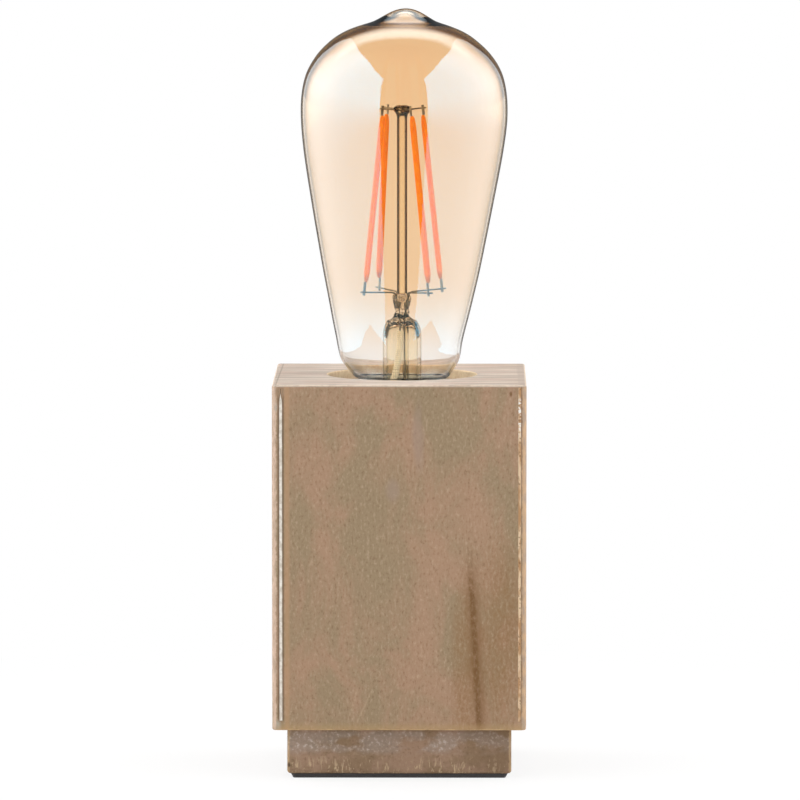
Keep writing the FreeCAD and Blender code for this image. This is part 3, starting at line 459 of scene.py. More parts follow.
def wood_base(f, point, greyer, pinker, light, dark):
    """Stain in two clouded tones, with fine specks and a few upright flecks: colour and reliefs."""
    clouds = f.noise(f.stretch(point, (1.0, 1.0, 0.5)), 0.06, 4.0, 0.6, 0.6)
    colour = f.mix(clouds.ramp(0.38, 0.62), greyer, pinker)
    fine = f.noise(f.stretch(point, (1.0, 1.0, 0.55)), 1.1, 4.0, 0.7)
    colour = f.mix(fine.ramp(0.52, 0.72) * 0.6, colour, light)
    colour = f.mix(fine.ramp(0.48, 0.28) * 0.6, colour, dark)
    fleck = f.noise(f.shift(f.stretch(point, (1.0, 1.0, 0.14)), (5.0, 9.0, 2.0)), 1.0, 2.0, 0.5)
    colour = f.mix(fleck.ramp(0.66, 0.78) * 0.5, colour, light)
    colour = f.mix(fleck.ramp(0.34, 0.22) * 0.35, colour, dark)
    return colour, fine, fleck


def front_marks(f, colour, x, y, z, fine):
    """Dark streak, tan clouds, smudges, scratches, stained edges and painted joint shade of the front
    face.

    Places and sizes are x and z in millimetres. Each mark has its strength and its colour.
    """
    front = (y + HALF).ramp(0.5, 1.0, 1.0, 0.0)
    drift = f.noise(f.stretch(f.place(), (1.0, 1.0, 0.3)), 0.16, 2.0, 0.5) - 0.5
    tan = f.spot(x + drift * 8.0, z, (21.0, 36.0), (7.0, 36.0))
    tan = tan.most(f.spot(x + drift * 8.0, z, (31.0, 44.0), (10.0, 40.0)))
    middle = z * -0.055 + 25.8 + drift * 2.5
    streak = abs(x - middle).ramp(3.4, 0.6) * z.ramp(78.0, 52.0)
    core = abs(x - middle + drift * 3.0 + 0.3).ramp(1.4, 0.3) * z.ramp(74.0, 56.0)
    grey = f.spot(x + drift * 4.0, z, (6.0, 106.0), (2.4, 14.0))
    grey = grey.most(f.spot(x, z, (-2.0, 89.5), (3.0, 5.0)))
    scratches = f.stroke(x, z, (-12.9, 28.0), (-15.7, 18.1), 0.45)
    scratches = scratches.most(f.stroke(x, z, (-8.3, 28.0), (-12.9, 18.1), 0.35))
    beside_strip = abs(x + 34.4).ramp(1.2, 0.3)
    # Dark lines along both joints of the left strip: partly the joints' own dark, partly painted shade.
    left_joint_shade = abs(abs(x + 36.27) - 0.78).ramp(0.32, 0.08) * abs(z - 68.6).ramp(51.0, 49.0)
    corner = f.spot(x, z, (-37.6, 16.8), (1.8, 2.4)) + f.spot(x, z, (-38.2, 115.2), (1.2, 2.6))
    right_gap = abs(x - 37.5 + drift * 0.4).ramp(0.3, 0.1) * z.ramp(90.0, 112.0, 0.3, 1.0)
    foot = (z - BLOCK_FOOT).ramp(3.0, 0.6)
    nick = f.spot(x, z, (34.2, 119.2), (0.6, 1.1))
    for mark, strength, stain in (
        (tan * fine.ramp(0.35, 0.65, 1.0, 0.45), 0.75, (144, 111, 78)),
        (streak, 0.55, (122, 88, 54)),
        (core * fine.ramp(0.7, 0.4), 0.5, (104, 72, 40)),
        (grey, 0.5, (158, 138, 124)),
        (scratches * fine.ramp(0.35, 0.6), 0.4, (196, 172, 142)),
        (beside_strip, 0.5, (186, 148, 112)),
        (left_joint_shade, 0.5, (98, 78, 60)),
        (corner.least(1.0), 0.7, (186, 180, 170)),
        (right_gap, 0.6, (124, 96, 72)),
        (foot, 0.45, (178, 148, 104)),
        (nick, 0.8, (120, 88, 60)),
    ):
        colour = f.mix(mark * front * strength, colour, ink(*stain))
    return colour


def block_wood():
    """Pale brown stained wood: specks, streaks, a ringed top and worn edges, with painted light and
    shade.
    """
    f = Finish("block_wood", Specular_IOR_Level=0.04)
    point = f.place()
    x, y, z = f.parts(point)
    colour, fine, fleck = wood_base(
        f, point, ink(153, 133, 106), ink(168, 137, 112), ink(190, 166, 140), ink(126, 99, 74))
    colour = front_marks(f, colour, x, y, z, fine)

    level = (z - BLOCK_TOP).ramp(-0.9, -0.3)
    rings = f.noise(f.stretch(point, (0.06, 1.0, 1.0)), 0.62, 4.0, 0.65, 0.5)
    # The top face's ringed tones are set lighter than the front's, partly as painted light from above.
    top = f.mix(rings.ramp(0.3, 0.7), ink(168, 150, 136), ink(224, 210, 197))
    blush = f.noise(f.stretch(point, (0.3, 1.0, 1.0)), 0.12, 2.0, 0.5)
    top = f.mix(blush.ramp(0.5, 0.65) * 0.4, top, ink(206, 177, 162))
    # Painted shade: dark lines on the eased left and back top edges, and a greyer band on the right one.
    eased_edge_shade = abs(y - HALF + 1.0).ramp(1.0, 0.2).most(abs(x + 37.4 - y * 0.01).ramp(0.35, 0.1))
    top = f.mix(eased_edge_shade * 0.5, top, ink(140, 126, 112))
    top = f.mix(x.ramp(HALF - 3.0, HALF - 2.2) * 0.5, top, ink(184, 168, 156))
    colour = f.mix(level, colour, top)

    # The bore's bare unstained wood, set lighter still as painted light against the shade inside the
    # recess.
    from_bore = ((x - BORE_X) * (x - BORE_X) + y * y) ** 0.5
    bored = from_bore.ramp(RECESS_RADIUS + 0.6, RECESS_RADIUS + 0.2)
    lit_raw_wood = f.mix(fine.ramp(0.3, 0.7), ink(232, 200, 160), ink(250, 226, 190))
    colour = f.mix(bored, colour, lit_raw_wood)

    ragged = f.noise(point, 0.6, 3.0, 0.6)
    upright, upper, lower = edge_bands((x, y, z), BLOCK_LOW, BLOCK_HIGH, ragged, 1.5)
    speck = f.noise(f.stretch(point, (1.0, 1.0, 0.35)), 0.6, 3.0, 0.6)
    # Upright edges: worn wood with a painted highlight, lighter and pinker on the left, where light
    # falls.
    pinkish = f.mix(speck.ramp(0.4, 0.62), ink(214, 186, 166), ink(190, 166, 146))
    orange = f.mix(speck.ramp(0.4, 0.62), ink(206, 172, 138), ink(180, 158, 138))
    wear_and_highlight = f.mix(x.ramp(-10.0, 10.0), pinkish, orange)
    colour = f.mix(upright * (1.0 - level) * 0.85, colour, wear_and_highlight)
    # Upper edges: a worn cream line with a painted highlight.
    wear_and_highlight = f.mix(speck.ramp(0.4, 0.6), ink(244, 228, 208), ink(222, 202, 180))
    colour = f.mix(upper * 0.7, colour, wear_and_highlight)
    # Lower edges: worn, sanded wood.
    wear_and_highlight = f.mix(speck.ramp(0.4, 0.6), ink(202, 170, 128), ink(176, 146, 110))
    colour = f.mix(lower * 0.6, colour, wear_and_highlight)
    f.feed("Base Color", colour)
    return f.done(fine.ramp(0.3, 0.7, 0.5, 0.68), fine * 0.7 + fleck * 0.3 + rings * level * 0.6, 0.12)


def plinth_wood():
    """Darker matt stain, with a grey-white rub round its upper half and light strokes at its foot."""
    f = Finish("plinth_wood", Specular_IOR_Level=0.04)
    point = f.place()
    x, y, z = f.parts(point)
    cloud = f.noise(point, 0.11, 3.0, 0.6)
    speck = f.noise(point, 0.95, 4.0, 0.7)
    colour = f.mix(cloud.ramp(0.4, 0.6), ink(140, 116, 92), ink(158, 130, 108))
    colour = f.mix(speck.ramp(0.47, 0.25) * 0.6, colour, ink(104, 80, 60))
    colour = f.mix(speck.ramp(0.54, 0.75) * 0.4, colour, ink(184, 158, 130))
    patches = f.noise(f.stretch(f.shift(point, (7.0, 0.0, 0.0)), (0.5, 0.5, 1.0)), 0.2, 2.0, 0.5)
    band = z.ramp(6.6, 9.6) * z.ramp(15.4, 13.6) * patches.ramp(0.36, 0.56)
    colour = f.mix(band * 0.5, colour, ink(160, 148, 138))
    colour = f.mix(band * speck.ramp(0.5, 0.66) * 0.6, colour, ink(206, 192, 180))
    slant = f.stretch(f.shift(point, (3.0, 0.0, 0.0)), (1.0, 1.0, 0.3))
    strokes = f.noise(slant, 1.0, 3.0, 0.6, 0.8)
    colour = f.mix(strokes.ramp(0.54, 0.66) * z.ramp(8.0, 3.0) * 0.8, colour, ink(204, 180, 146))
    colour = f.mix(x.ramp(14.0, 30.0) * 0.4, colour, ink(118, 94, 72))
    upright, _, lower = edge_bands((x, y, z), PLINTH_LOW, PLINTH_HIGH, speck, 0.9)
    colour = f.mix(upright * 0.5, colour, ink(190, 160, 120))
    colour = f.mix(lower * 0.6, colour, ink(208, 184, 150))
    chip = f.spot(x, z, (-34.0, 4.2), (0.7, 1.1))
    colour = f.mix(chip * 0.85, colour, ink(74, 56, 44))
    f.feed("Base Color", colour)
    return f.done(speck.ramp(0.3, 0.7, 0.62, 0.8), strokes * 0.4 + speck * 0.6, 0.15)


def left_filler():
    """Pale line with a pointed upper end and wavering dark borders, partly painted shade, in its wood
    strip.
    """
    f = Finish("pale_filler", Specular_IOR_Level=0.04)
    point = f.place()
    x, _, z = f.parts(point)
    drift = f.noise(f.stretch(point, (0.0, 0.0, 1.0)), 0.25, 3.0, 0.6) - 0.5
    speck = f.noise(point, 0.7, 3.0, 0.6)
    colour = f.mix(speck.ramp(0.35, 0.65), ink(206, 196, 182), ink(236, 230, 220))
    reach = z.ramp(STRIP_TOP - 0.4, STRIP_TOP - 4.5) * 0.5
    away = abs(x - STRIP_X + drift * 0.25) - reach
    # The dark borders are partly the joints' own dark and partly painted shade in the gaps.
    colour = f.mix(away.ramp(-0.14, 0.0), colour, ink(122, 100, 80))
    colour = f.mix(away.ramp(0.08, 0.2), colour, ink(166, 138, 112))
    f.feed("Base Color", colour)
    return f.done(speck.ramp(0.3, 0.7, 0.65, 0.85), speck, 0.08)


def right_filler():
    """Stained line at the right edge: cream and orange in turn, with white chips near its top."""
    f = Finish("stained_filler", Specular_IOR_Level=0.04)
    point = f.place()
    z = f.parts(point)[2]
    blotch = f.noise(f.stretch(point, (1.0, 1.0, 0.25)), 0.7, 2.0, 0.6)
    speck = f.noise(point, 1.4, 2.0, 0.6)
    colour = f.mix(blotch.ramp(0.38, 0.6), ink(186, 144, 104), ink(226, 200, 166))
    chips = speck.ramp(0.5, 0.58) * z.ramp(104.0, 110.0) * z.ramp(119.0, 116.0)
    colour = f.mix(chips, colour, ink(244, 240, 234))
    colour = f.mix(speck.ramp(0.42, 0.34) * 0.6, colour, ink(120, 88, 60))
    f.feed("Base Color", colour)
    return f.done(speck.ramp(0.3, 0.7, 0.6, 0.85), speck, 0.1)


def plain_finish(name, colour, roughness, metal=0.0, grain=0.8, fleck=0.25):
    """Finish whose colour and gloss drift a little over the piece, with a faint relief."""
    f = Finish(name, Metallic=metal)
    point = f.place()
    cloud = f.noise(point, grain, 3.0, 0.6)
    lighter = tuple(min(1.0, part * 1.25) for part in colour[:3]) + (1.0,)
    darker = tuple(part * (1 - fleck) for part in colour[:3]) + (1.0,)
    f.feed("Base Color", f.mix(cloud.ramp(0.3, 0.7), darker, lighter))
    return f.done(cloud.ramp(0.25, 0.75, roughness * 0.8, min(1.0, roughness * 1.25)), cloud, 0.02)


# What one wall of the bulb lets through seen straight, and seen edge on, where the darker colour is
# partly painted dark reflection; the tint of what it reflects and the veins of the knotted stem.
GLASS_AT_NECK = (0.955, 0.945, 0.93, 1.0)
GLASS_HALF_UP = (0.94, 0.785, 0.605, 1.0)
GLASS_AT_HEAD = (0.93, 0.75, 0.55, 1.0)
GLASS_EDGE = (0.05, 0.04, 0.035, 1.0)
GLASS_TOP_EDGE = (0.10, 0.035, 0.004, 1.0)
GLASS_SHEEN = (0.06, 0.62, 1.0, 1.0)
VEIN = (0.16, 0.10, 0.03, 1.0)


def amber_glass():
    """Amber glass fading to clear at the neck, darker edge on: partly more tint, partly painted
    reflection.
    """
    f = Finish("amber_glass", Transmission_Weight=1.0, IOR=1.5, Roughness=0.0)
    f.shader.inputs["Specular Tint"].default_value = GLASS_SHEEN
    z = f.parts(f.place())[2]
    tint = f.mix(z.ramp(CAP_RIM + 4.0, CAP_RIM + 32.0), GLASS_AT_NECK, GLASS_HALF_UP)
    tint = f.mix(z.ramp(CAP_RIM + 45.0, CAP_RIM + 98.0), tint, GLASS_AT_HEAD)
    high = z.ramp(CAP_RIM + 84.0, CAP_RIM + 102.0)
    edge = f.mix(high, GLASS_EDGE, GLASS_TOP_EDGE)
    # Edge-on darkening: partly a longer way through the tint, partly painted dark reflection of the
    # room.
    facing = f.node("ShaderNodeLayerWeight", None, {"Blend": 0.5}, out=1)
    edging = (facing + high * 0.1).ramp(0.70, 0.88) * z.ramp(CAP_RIM + 4.0, CAP_RIM + 14.0)
    f.feed("Base Color", f.mix(edging, tint, edge))
    return f.material


def inner_glass(name, clear, edge, start, end, veins=0.0):
    """Glass darkened edge on as painted dark reflection, with dark veins if it is knotted."""
    f = Finish(name, Transmission_Weight=1.0, IOR=1.5, Roughness=0.0)
    # The edge colour is painted dark reflection of the room, strongest where the glass is seen edge on.
    facing = f.node("ShaderNodeLayerWeight", None, {"Blend": 0.5}, out=1)
    colour = f.mix(facing.ramp(start, end), clear, edge)
    if veins:
        point = f.place()
        z = f.parts(point)[2]
        curl = abs(f.noise(point, 0.9, 2.0, 0.6, 1.2) - 0.5).ramp(0.05, 0.01)
        knotted = z.ramp(CAP_RIM + 17.0, CAP_RIM + 19.5)
        colour = f.mix(curl * knotted * veins, colour, VEIN)
    f.feed("Base Color", colour)
    return f.material


def phosphor():
    """Coated light strip: soft waxy orange with a faint painted glow, a little duller at its lower end.
    """
    # The emission is painted light, lifting the strip out of the shade the glass casts; it is no lamp.
    f = Finish("phosphor", Specular_IOR_Level=0.0, Emission_Strength=0.15)
    point = f.place()
    z = f.parts(point)[2]
    cloud = f.noise(point, 0.9, 2.0, 0.5)
    colour = f.mix(cloud.ramp(0.35, 0.65), ink(255, 136, 0), ink(255, 150, 8))
    colour = f.mix(z.ramp(CAP_RIM + 34.0, CAP_RIM + 31.5) * 0.6, colour, ink(170, 110, 30))
    f.feed("Base Color", colour)
    f.feed("Emission Color", colour)
    return f.done(cloud.ramp(0.3, 0.7, 0.5, 0.7), cloud, 0.05)


def woven_sleeve():
    """Cream braid: two crossing sets of threads round the sleeve, with a painted glow."""
    # The emission is painted light, lifting the braid out of the shade inside the glass.
    f = Finish("cream_sleeve", Specular_IOR_Level=0.2, Emission_Strength=0.45)
    point = f.place()
    x, _, z = f.parts(point)
    thread = (x * 5.0 + z * 5.0).sine() * (x * 5.0 - z * 5.0).sine()
    colour = f.mix(thread.ramp(-0.5, 0.6), ink(200, 184, 156), ink(240, 230, 210))
    f.feed("Base Color", colour)
    f.feed("Emission Color", colour)
    return f.done(thread.ramp(-1.0, 1.0, 0.95, 0.8), thread, 0.08)


# Each plain slot's screen colour and roughness, and its metal, grain and fleck where they differ.
PLAIN = {
    "foot_foam": ((24, 20, 20), 0.9, 0.0, 2.5),
    "zinc_steel": ((190, 190, 186), 0.35, 1.0),
    "black_plastic": ((38, 37, 37), 0.55),
    # The holder's black is set dark grey, partly as painted sheen of the bright room.
    "holder_black": ((72, 64, 56), 0.4),
    "white_ceramic": ((232, 230, 222), 0.45, 0.0, 0.8, 0.06),
    "contact_brass": ((214, 178, 104), 0.3, 1.0),
    "clear_grey_plastic": ((196, 202, 202), 0.25, 0.0, 0.8, 0.06),
    "lead_brown": ((110, 66, 42), 0.45),
    "lead_blue": ((52, 96, 168), 0.45),
    "solder": ((196, 196, 196), 0.32, 1.0),
    "nickel_cap": ((214, 210, 200), 0.28, 1.0),
    "black_vitrite": ((28, 28, 34), 0.12),
    "cement": ((206, 202, 188), 0.85),
    "mount_wire": ((150, 140, 120), 0.35, 1.0),
    "board_green": ((46, 112, 70), 0.4),
    "capacitor_black": ((36, 36, 40), 0.3),
    "chip_black": ((30, 30, 31), 0.6),
}

FINISHES = {slot: plain_finish(slot, ink(*look[0]), *look[1:]) for slot, look in PLAIN.items()}
FINISHES.update({
    "block_wood": block_wood(),
    "plinth_wood": plinth_wood(),
    "pale_filler": left_filler(),
    "stained_filler": right_filler(),
    "amber_glass": amber_glass(),
    # Its edge colour is painted dark reflection.
    "clear_glass": inner_glass(
        "clear_glass", (0.96, 0.92, 0.82, 1.0), (0.3, 0.25, 0.15, 1.0), 0.35, 0.9),
    "filament_phosphor": phosphor(),
    "cream_sleeve": woven_sleeve(),
})


# --- pieces -----------------------------------------------------------------------------------

SLOT_OF = {row["node"]: row["material_slot"] for row in frame["record"]["subparts"]}


def put(name, mesh, body, node, finish=None, sharp=40):
    """Adds a finished piece that stands for a node and moves with a body."""
    piece = bpy.data.objects.new(name, smooth(mesh, sharp))
    bpy.context.scene.collection.objects.link(piece)
    slot = SLOT_OF[node]
    mesh.materials.clear()
    mesh.materials.append(finish or FINISHES[slot])
    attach(piece, body)
    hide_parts(node)
    return piece


def dress_nodes():
    """Gives every node that is kept its slot's finish."""
    for name, item in frame["nodes"].items():
        item.data.materials.clear()
        item.data.materials.append(FINISHES[SLOT_OF[name]])
        smooth(item.data, 32)


def wooden_body(name, low, high, eases, top_ease, foot_ease, inner, step, seed):
    """Square wooden piece as one profile carried round the upright axis.

    Each column is a direction in plan. Going up a column, the point leaves the inner circle, crosses
    the underside to the square outline, climbs the side and comes back over the top to the circle.
    inner lists the (radius, z) circles round the bore from the top's rim down to the underside, and
    without it both ends close in a point. Edges are rounded by insets along the outline's normal and
    worn by ripple.
    """
    half = high[0]
    outline, normal = square_outline(half, eases, step)
    direction = outline / np.linalg.norm(outline, axis=1)[:, None]

    def level(inset, z):
        """The outline drawn in by an inset, at a height."""
        return at_height(outline - normal * inset, z)

    def ring(radius, z):
        """A circle round the bore, at a height."""
        return at_height(direction * radius + (BORE_X, 0.0), z)

    bends = [(1 - math.sin(a), 1 - math.cos(a)) for a in np.linspace(0, math.pi / 2, 6)]
    foot_edge = [level(foot_ease * a, low[2] + foot_ease * b) for a, b in bends]
    top_edge = [level(top_ease * b, high[2] - top_ease * a) for a, b in bends]
    count = int((high[2] - low[2]) / step)
    heights = np.linspace(low[2] + foot_ease, high[2] - top_ease, count)[1:-1]
    sides = [level(0.0, z) for z in heights]
    across = np.linspace(0, 1, 14)[1:-1]
    rings = [ring(*point) for point in inner] or [ring(0.0, high[2]), ring(0.0, low[2])]
    top = [top_edge[-1] * (1 - t) + rings[0] * t for t in across]
    under = [rings[-1] * (1 - t) + foot_edge[0] * t for t in across]
    skin = under + foot_edge + sides + top_edge + top
    rows = np.array(skin + rings if inner else rings[1:] + skin + rings[:1])

    plan_side = half - np.abs(rows[..., :2]).max(-1)
    plan_corner = half - np.abs(rows[..., :2]).min(-1)
    near_top = high[2] - rows[..., 2]
    near_foot = rows[..., 2] - low[2]
    on_edge = np.maximum.reduce([
        ramp(-plan_corner, -2.5, -0.8),
        ramp(-np.maximum(plan_side, near_top), -1.6, -0.4),
        ramp(-np.maximum(plan_side, near_foot), -1.6, -0.4),
    ])
    bite = np.clip(ripple(rows * (1, 1, 0.5), WIDE_BITE, seed) - 0.2, 0, 2) * WIDE_DEPTH
    bite += np.clip(ripple(rows, FINE_BITE, seed + 1) - 0.5, 0, 2) * FINE_DEPTH
    out = rows * (1, 1, 0) / np.maximum(np.linalg.norm(rows[..., :2], axis=-1), 0.1)[..., None]
    outer = plan_side < 1.2
    rows = rows - out * (bite * on_edge * outer)[..., None]
    return surface(name, rows, loop=bool(inner))


def make_wood_block():
    """The block, with its recess, wiring chamber, cable hole, strip grooves and screw holes."""
    chamber_top = RECESS_FLOOR - WEB
    rim = [(0.35, 0.0), (0.1, -0.12), (0.0, -0.4)]
    inner = [(RECESS_RADIUS + wider, BLOCK_TOP + drop) for wider, drop in rim]
    inner += [(RECESS_RADIUS, z) for z in np.linspace(BLOCK_TOP - 1.5, RECESS_FLOOR, 24)]
    inner += [(14.0, RECESS_FLOOR), (TUBE_HOLE, RECESS_FLOOR)]
    inner += [(TUBE_HOLE, chamber_top), (CHAMBER_RADIUS, chamber_top)]
    inner += [(CHAMBER_RADIUS, z) for z in np.linspace(chamber_top - 6, BLOCK_FOOT, 7)]
    mesh = wooden_body(
        "wooden_block", BLOCK_LOW, BLOCK_HIGH, CORNER_EASES, TOP_EASE, FOOT_EASE, inner, 0.95, 11)
    cable_z = (GROMMET_LOW[2] + GROMMET_HIGH[2]) / 2
    seat = HALF - 1.5
    bush, flange = 4.95, 6.6
    hole = [(0, 5.5), (bush, 5.5), (bush, seat), (flange, seat), (flange, HALF + 1), (0, HALF + 1)]
    cutters = [turned_to_back(turned("hole", hole, sides=48), cable_z)]
    pilot, foot = 2.02, BLOCK_FOOT - 1
    cutters += screw_holes([(0, foot), (pilot, foot), (pilot, SCREW_TIP), (0, SCREW_TIP)])
    for name in STRIPS:
        low, high = corners_of(name)
        slack = np.array([0.05, 0.0, 0.05])
        groove_low, groove_high = low - slack, high + slack
        groove_low[1], groove_high[1] = -HALF - 1, high[1] + 0.03
        cutters.append(bar("groove", groove_low, groove_high))
    put("wooden_block", cut_away(mesh, cutters), "base", "wood_block", sharp=50)


def screw_holes(outline):
    """Four round cutters of one outline, where the plinth's screws go."""
    places = [(x, y) for x in (-SCREW_OFFSET, SCREW_OFFSET) for y in (-SCREW_OFFSET, SCREW_OFFSET)]
    return [turned("pilot", outline, sides=24, centre=place) for place in places]


def make_plinth():
    """The set-back plinth, with its four countersunk screw holes."""
    mesh = wooden_body(
        "wooden_plinth", PLINTH_LOW, PLINTH_HIGH, (PLINTH_EASE,) * 4, 0.3, 1.0, [], 0.9, 31)
    foot, top = PLINTH_LOW[2], PLINTH_HIGH[2]
    hole, head = 2.25, 4.25
    outline = [(0, foot - 1), (head, foot - 1), (head, foot + 0.2)]
    outline += [(hole, foot + 2.2), (hole, top + 1), (0, top + 1)]
    put("wooden_plinth", cut_away(mesh, screw_holes(outline)), "base", "plinth", sharp=50)


def make_foot_pad():
    """Foam pad with sides that slope in to the table: insets of its square outline going up."""
    outline, normal = square_outline(PAD_HIGH[0], (1.6,) * 4, 1.2)
    top = PAD_HIGH[2]
    insets = ((0.95, 0.0), (0.78, 0.08), (0.08, top - 0.15), (0.15, top))
    rows = [at_height(outline - normal * inset, z) for inset, z in insets]
    rows = [at_height(outline * 0, 0.0), *rows, at_height(outline * 0, top)]
    put("foam_foot", surface("foam_foot", rows), "base", "foot_pad")


def make_edge_strips():
    """Upright fillets: a four-cornered section whose face and right-hand border wander by ripple."""
    for name in STRIPS:
        low, high = corners_of(name)
        z = np.linspace(low[2], high[2], 220)
        line = np.stack([np.zeros_like(z), np.zeros_like(z), z], -1)
        left = np.full_like(z, low[0])
        right = high[0] - np.clip(ripple(line, 4.0, 6) * 0.5, 0, 1) * STRIP_WANDER
        face = low[1] + STRIP_SINK + np.abs(ripple(line, 3.0, 7)) * STRIP_SINK
        back = np.full_like(z, high[1])
        section = [(left, face), (right, face), (right, back), (left, back)]
        rows = np.stack([np.stack([a, b, z], -1) for a, b in section], 1)
        first, last = (np.repeat(end.mean(1, keepdims=True), 4, 1) for end in (rows[:1], rows[-1:]))
        mesh = surface(name, np.concatenate([first, rows, last]))
        put("fillet" + name[10:], mesh, "base", name, sharp=30)


# Outside of the glass: radius, and height above the cap's rim.
GLASS_OUTLINE = [
    (12.75, 0.0), (14.3, 0.6), (16.15, 2.7), (17.4, 4.4), (18.4, 6.4), (19.3, 10.5), (20.95, 18.1),
    (22.6, 25.7), (24.2, 33.2), (25.65, 40.8), (27.05, 48.3), (28.4, 55.8), (29.75, 63.4), (31.0, 71.2),
    (31.6, 76.0), (31.95, 80.0), (32.05, 83.5), (31.9, 87.3), (31.3, 91.5), (30.3, 95.0), (28.5, 98.5),
    (26.3, 101.5), (23.8, 104.0), (20.8, 106.4), (17.8, 108.1), (14.6, 109.4), (11.7, 110.35),
    (9.7, 111.05), (8.1, 111.9), (6.6, 112.8), (4.9, 113.75), (2.7, 114.65),
]

TIP_THICKENING = 0.6

# How far the blown glass stands off its axis at a height above the cap's rim.
GLASS_SWAY = [
    (0.0, 0.0), (6.0, -0.6), (11.0, -0.78), (16.0, -0.66), (23.0, -0.42), (31.0, -0.22), (41.0, -0.06),
    (51.0, 0.08), (61.0, 0.26), (71.0, 0.45), (80.0, 0.64), (98.0, 0.64), (105.0, 0.45), (109.0, 0.5),
    (112.0, 0.9), (115.1, 1.15),
]


def smooth_curve(points, step):
    """Natural cubic spline through points, taken at even steps of its length.

    Its second differences solve the tridiagonal system that makes the bending continuous.
    """
    points = np.asarray(points, float)
    t = np.concatenate([[0], np.cumsum(np.linalg.norm(np.diff(points, axis=0), axis=1))])
    h = np.diff(t)
    matrix = np.eye(len(t))
    right = np.zeros_like(points)
    for i in range(1, len(t) - 1):
        matrix[i, i - 1:i + 2] = h[i - 1], 2 * (h[i - 1] + h[i]), h[i]
        right[i] = 6 * ((points[i + 1] - points[i]) / h[i] - (points[i] - points[i - 1]) / h[i - 1])
    bend = np.linalg.solve(matrix, right)
    at = np.linspace(0, t[-1], int(t[-1] / step))
    i = np.clip(np.searchsorted(t, at) - 1, 0, len(h) - 1)
    left, rest = (t[i + 1] - at)[:, None], (at - t[i])[:, None]
    width = h[i][:, None]
    curved = (bend[i] * left ** 3 + bend[i + 1] * rest ** 3) / (6 * width)
    start = (points[i] / width - bend[i] * width / 6) * left
    end = (points[i + 1] / width - bend[i + 1] * width / 6) * rest
    return curved + start + end


def swayed(mesh):
    """Mesh whose points move sideways by GLASS_SWAY at their height."""
    heights, steps = np.array(GLASS_SWAY).T
    return reshaped(mesh, lambda x, y, z: (x + np.interp(z - CAP_RIM, heights, steps), y, z))


def make_bulb_glass():
    """Blown envelope: outside from its outline, inside offset by the wall, which thickens at the tip."""
    tip = GLASS_TIP - CAP_RIM
    whole = GLASS_OUTLINE + [(0.0, tip)] + [(-r, h) for r, h in GLASS_OUTLINE[:-6:-1]]
    curve = smooth_curve(whole, 0.8)
    outer = curve[curve[:, 0] > 0.15]
    run = np.gradient(outer, axis=0)
    run /= np.linalg.norm(run, axis=1)[:, None]
    wall = GLASS_WALL + TIP_THICKENING * ramp(outer[:, 1], tip - 5.5, tip - 0.5)
    inner = outer + np.stack([-run[:, 1], run[:, 0]], -1) * wall[:, None]
    inner = inner[inner[:, 0] > 0.3][1:]
    neck_top = -1.8
    bore = NECK_RADIUS - GLASS_WALL
    neck = [(bore, neck_top), (bore, -NECK_DEPTH), (NECK_RADIUS, -NECK_DEPTH), (NECK_RADIUS, neck_top)]
    outline = np.concatenate([[(0.0, inner[-1][1])], inner[::-1], neck, outer, [(0.0, tip)]])
    outline[:, 1] += CAP_RIM
    mesh = turned("bulb_envelope", outline, sides=160)
    envelope = put("bulb_envelope", swayed(mesh), "bulb", "bulb_glass", sharp=60)
    envelope.visible_shadow = False


# --- the bulb's insides -----------------------------------------------------------------------

FILAMENTS = {
    "filament_right_back": (28.0, 20.0),
    "filament_left_back": (123.0, 135.0),
    "filament_left_front": (215.0, 209.5),
    "filament_right_front": (307.0, 297.0),
}
FILAMENT_WIDTH = 2.1
FILAMENT_DEPTH = 1.6
FILAMENT_TAPER = 3.0
FILAMENT_END = 0.06
LOW_RADIUS, LOW_Z = 13.5, 30.8
HIGH_RADIUS, HIGH_Z = 6.9, 82.0

STEM_RADIUS = 6.0
STEM_WALL = 1.2
SHOULDER = 15.2
PRESS_FOOT = 19.6
PRESS_TOP = 26.8
ROD_RADIUS = 1.6
BEAD_FOOT = 82.0
BEAD_TOP = 85.1


def above_rim(x, y, height):
    """Point given from the bulb's axis and above the cap's rim."""
    return np.array([BORE_X + x, y, CAP_RIM + height])


def polar(azimuth, radius, height):
    """Point at a distance from the bulb's axis, in a direction in degrees from +X."""
    angle = math.radians(azimuth)
    return above_rim(radius * math.cos(angle), radius * math.sin(angle), height)


def make_filaments():
    """Light strips: an oval carried along a straight line, drawn in at both ends."""
    for name, (low_side, high_side) in FILAMENTS.items():
        low, high = polar(low_side, LOW_RADIUS, LOW_Z), polar(high_side, HIGH_RADIUS, HIGH_Z)
        length = np.linalg.norm(high - low)
        ends = np.linspace(0, FILAMENT_END, 8)
        share = [ends, np.linspace(FILAMENT_END, 1 - FILAMENT_END, 40)[1:-1], 1 - ends[::-1]]
        share = np.concatenate(share)
        path = low + (high - low) * share[:, None]
        end = np.minimum(share, 1 - share) * length
        scale = 0.42 + 0.58 * np.sqrt(np.clip(end / FILAMENT_TAPER, 0, 1))
        oval = circle(0.5, 24) * (FILAMENT_WIDTH, FILAMENT_DEPTH)
        mesh = carried(name, path, oval, scale, reference=polar(low_side, 1, 0) - above_rim(0, 0, 0))
        put("light_strip" + name[8:], mesh, "bulb", name)


def knotted(mesh, low, high, size):
    """Mesh whose points between two heights above the rim move in and out from the axis by ripple."""
    def move(x, y, z):
        """The points further from the axis, or nearer to it, by their share of the swell."""
        points = np.stack([x, y, z], -1)
        share = ramp(z - CAP_RIM, low, low + 1.5) * ramp(CAP_RIM - z, -high, -high + 0.6)
        swell = 1 + (ripple(points, 2.6, 3) * 0.5 + ripple(points, 1.3, 4) * 0.25) * size * share
        return BORE_X + (x - BORE_X) * swell, y * swell, z

    return reshaped(mesh, move)


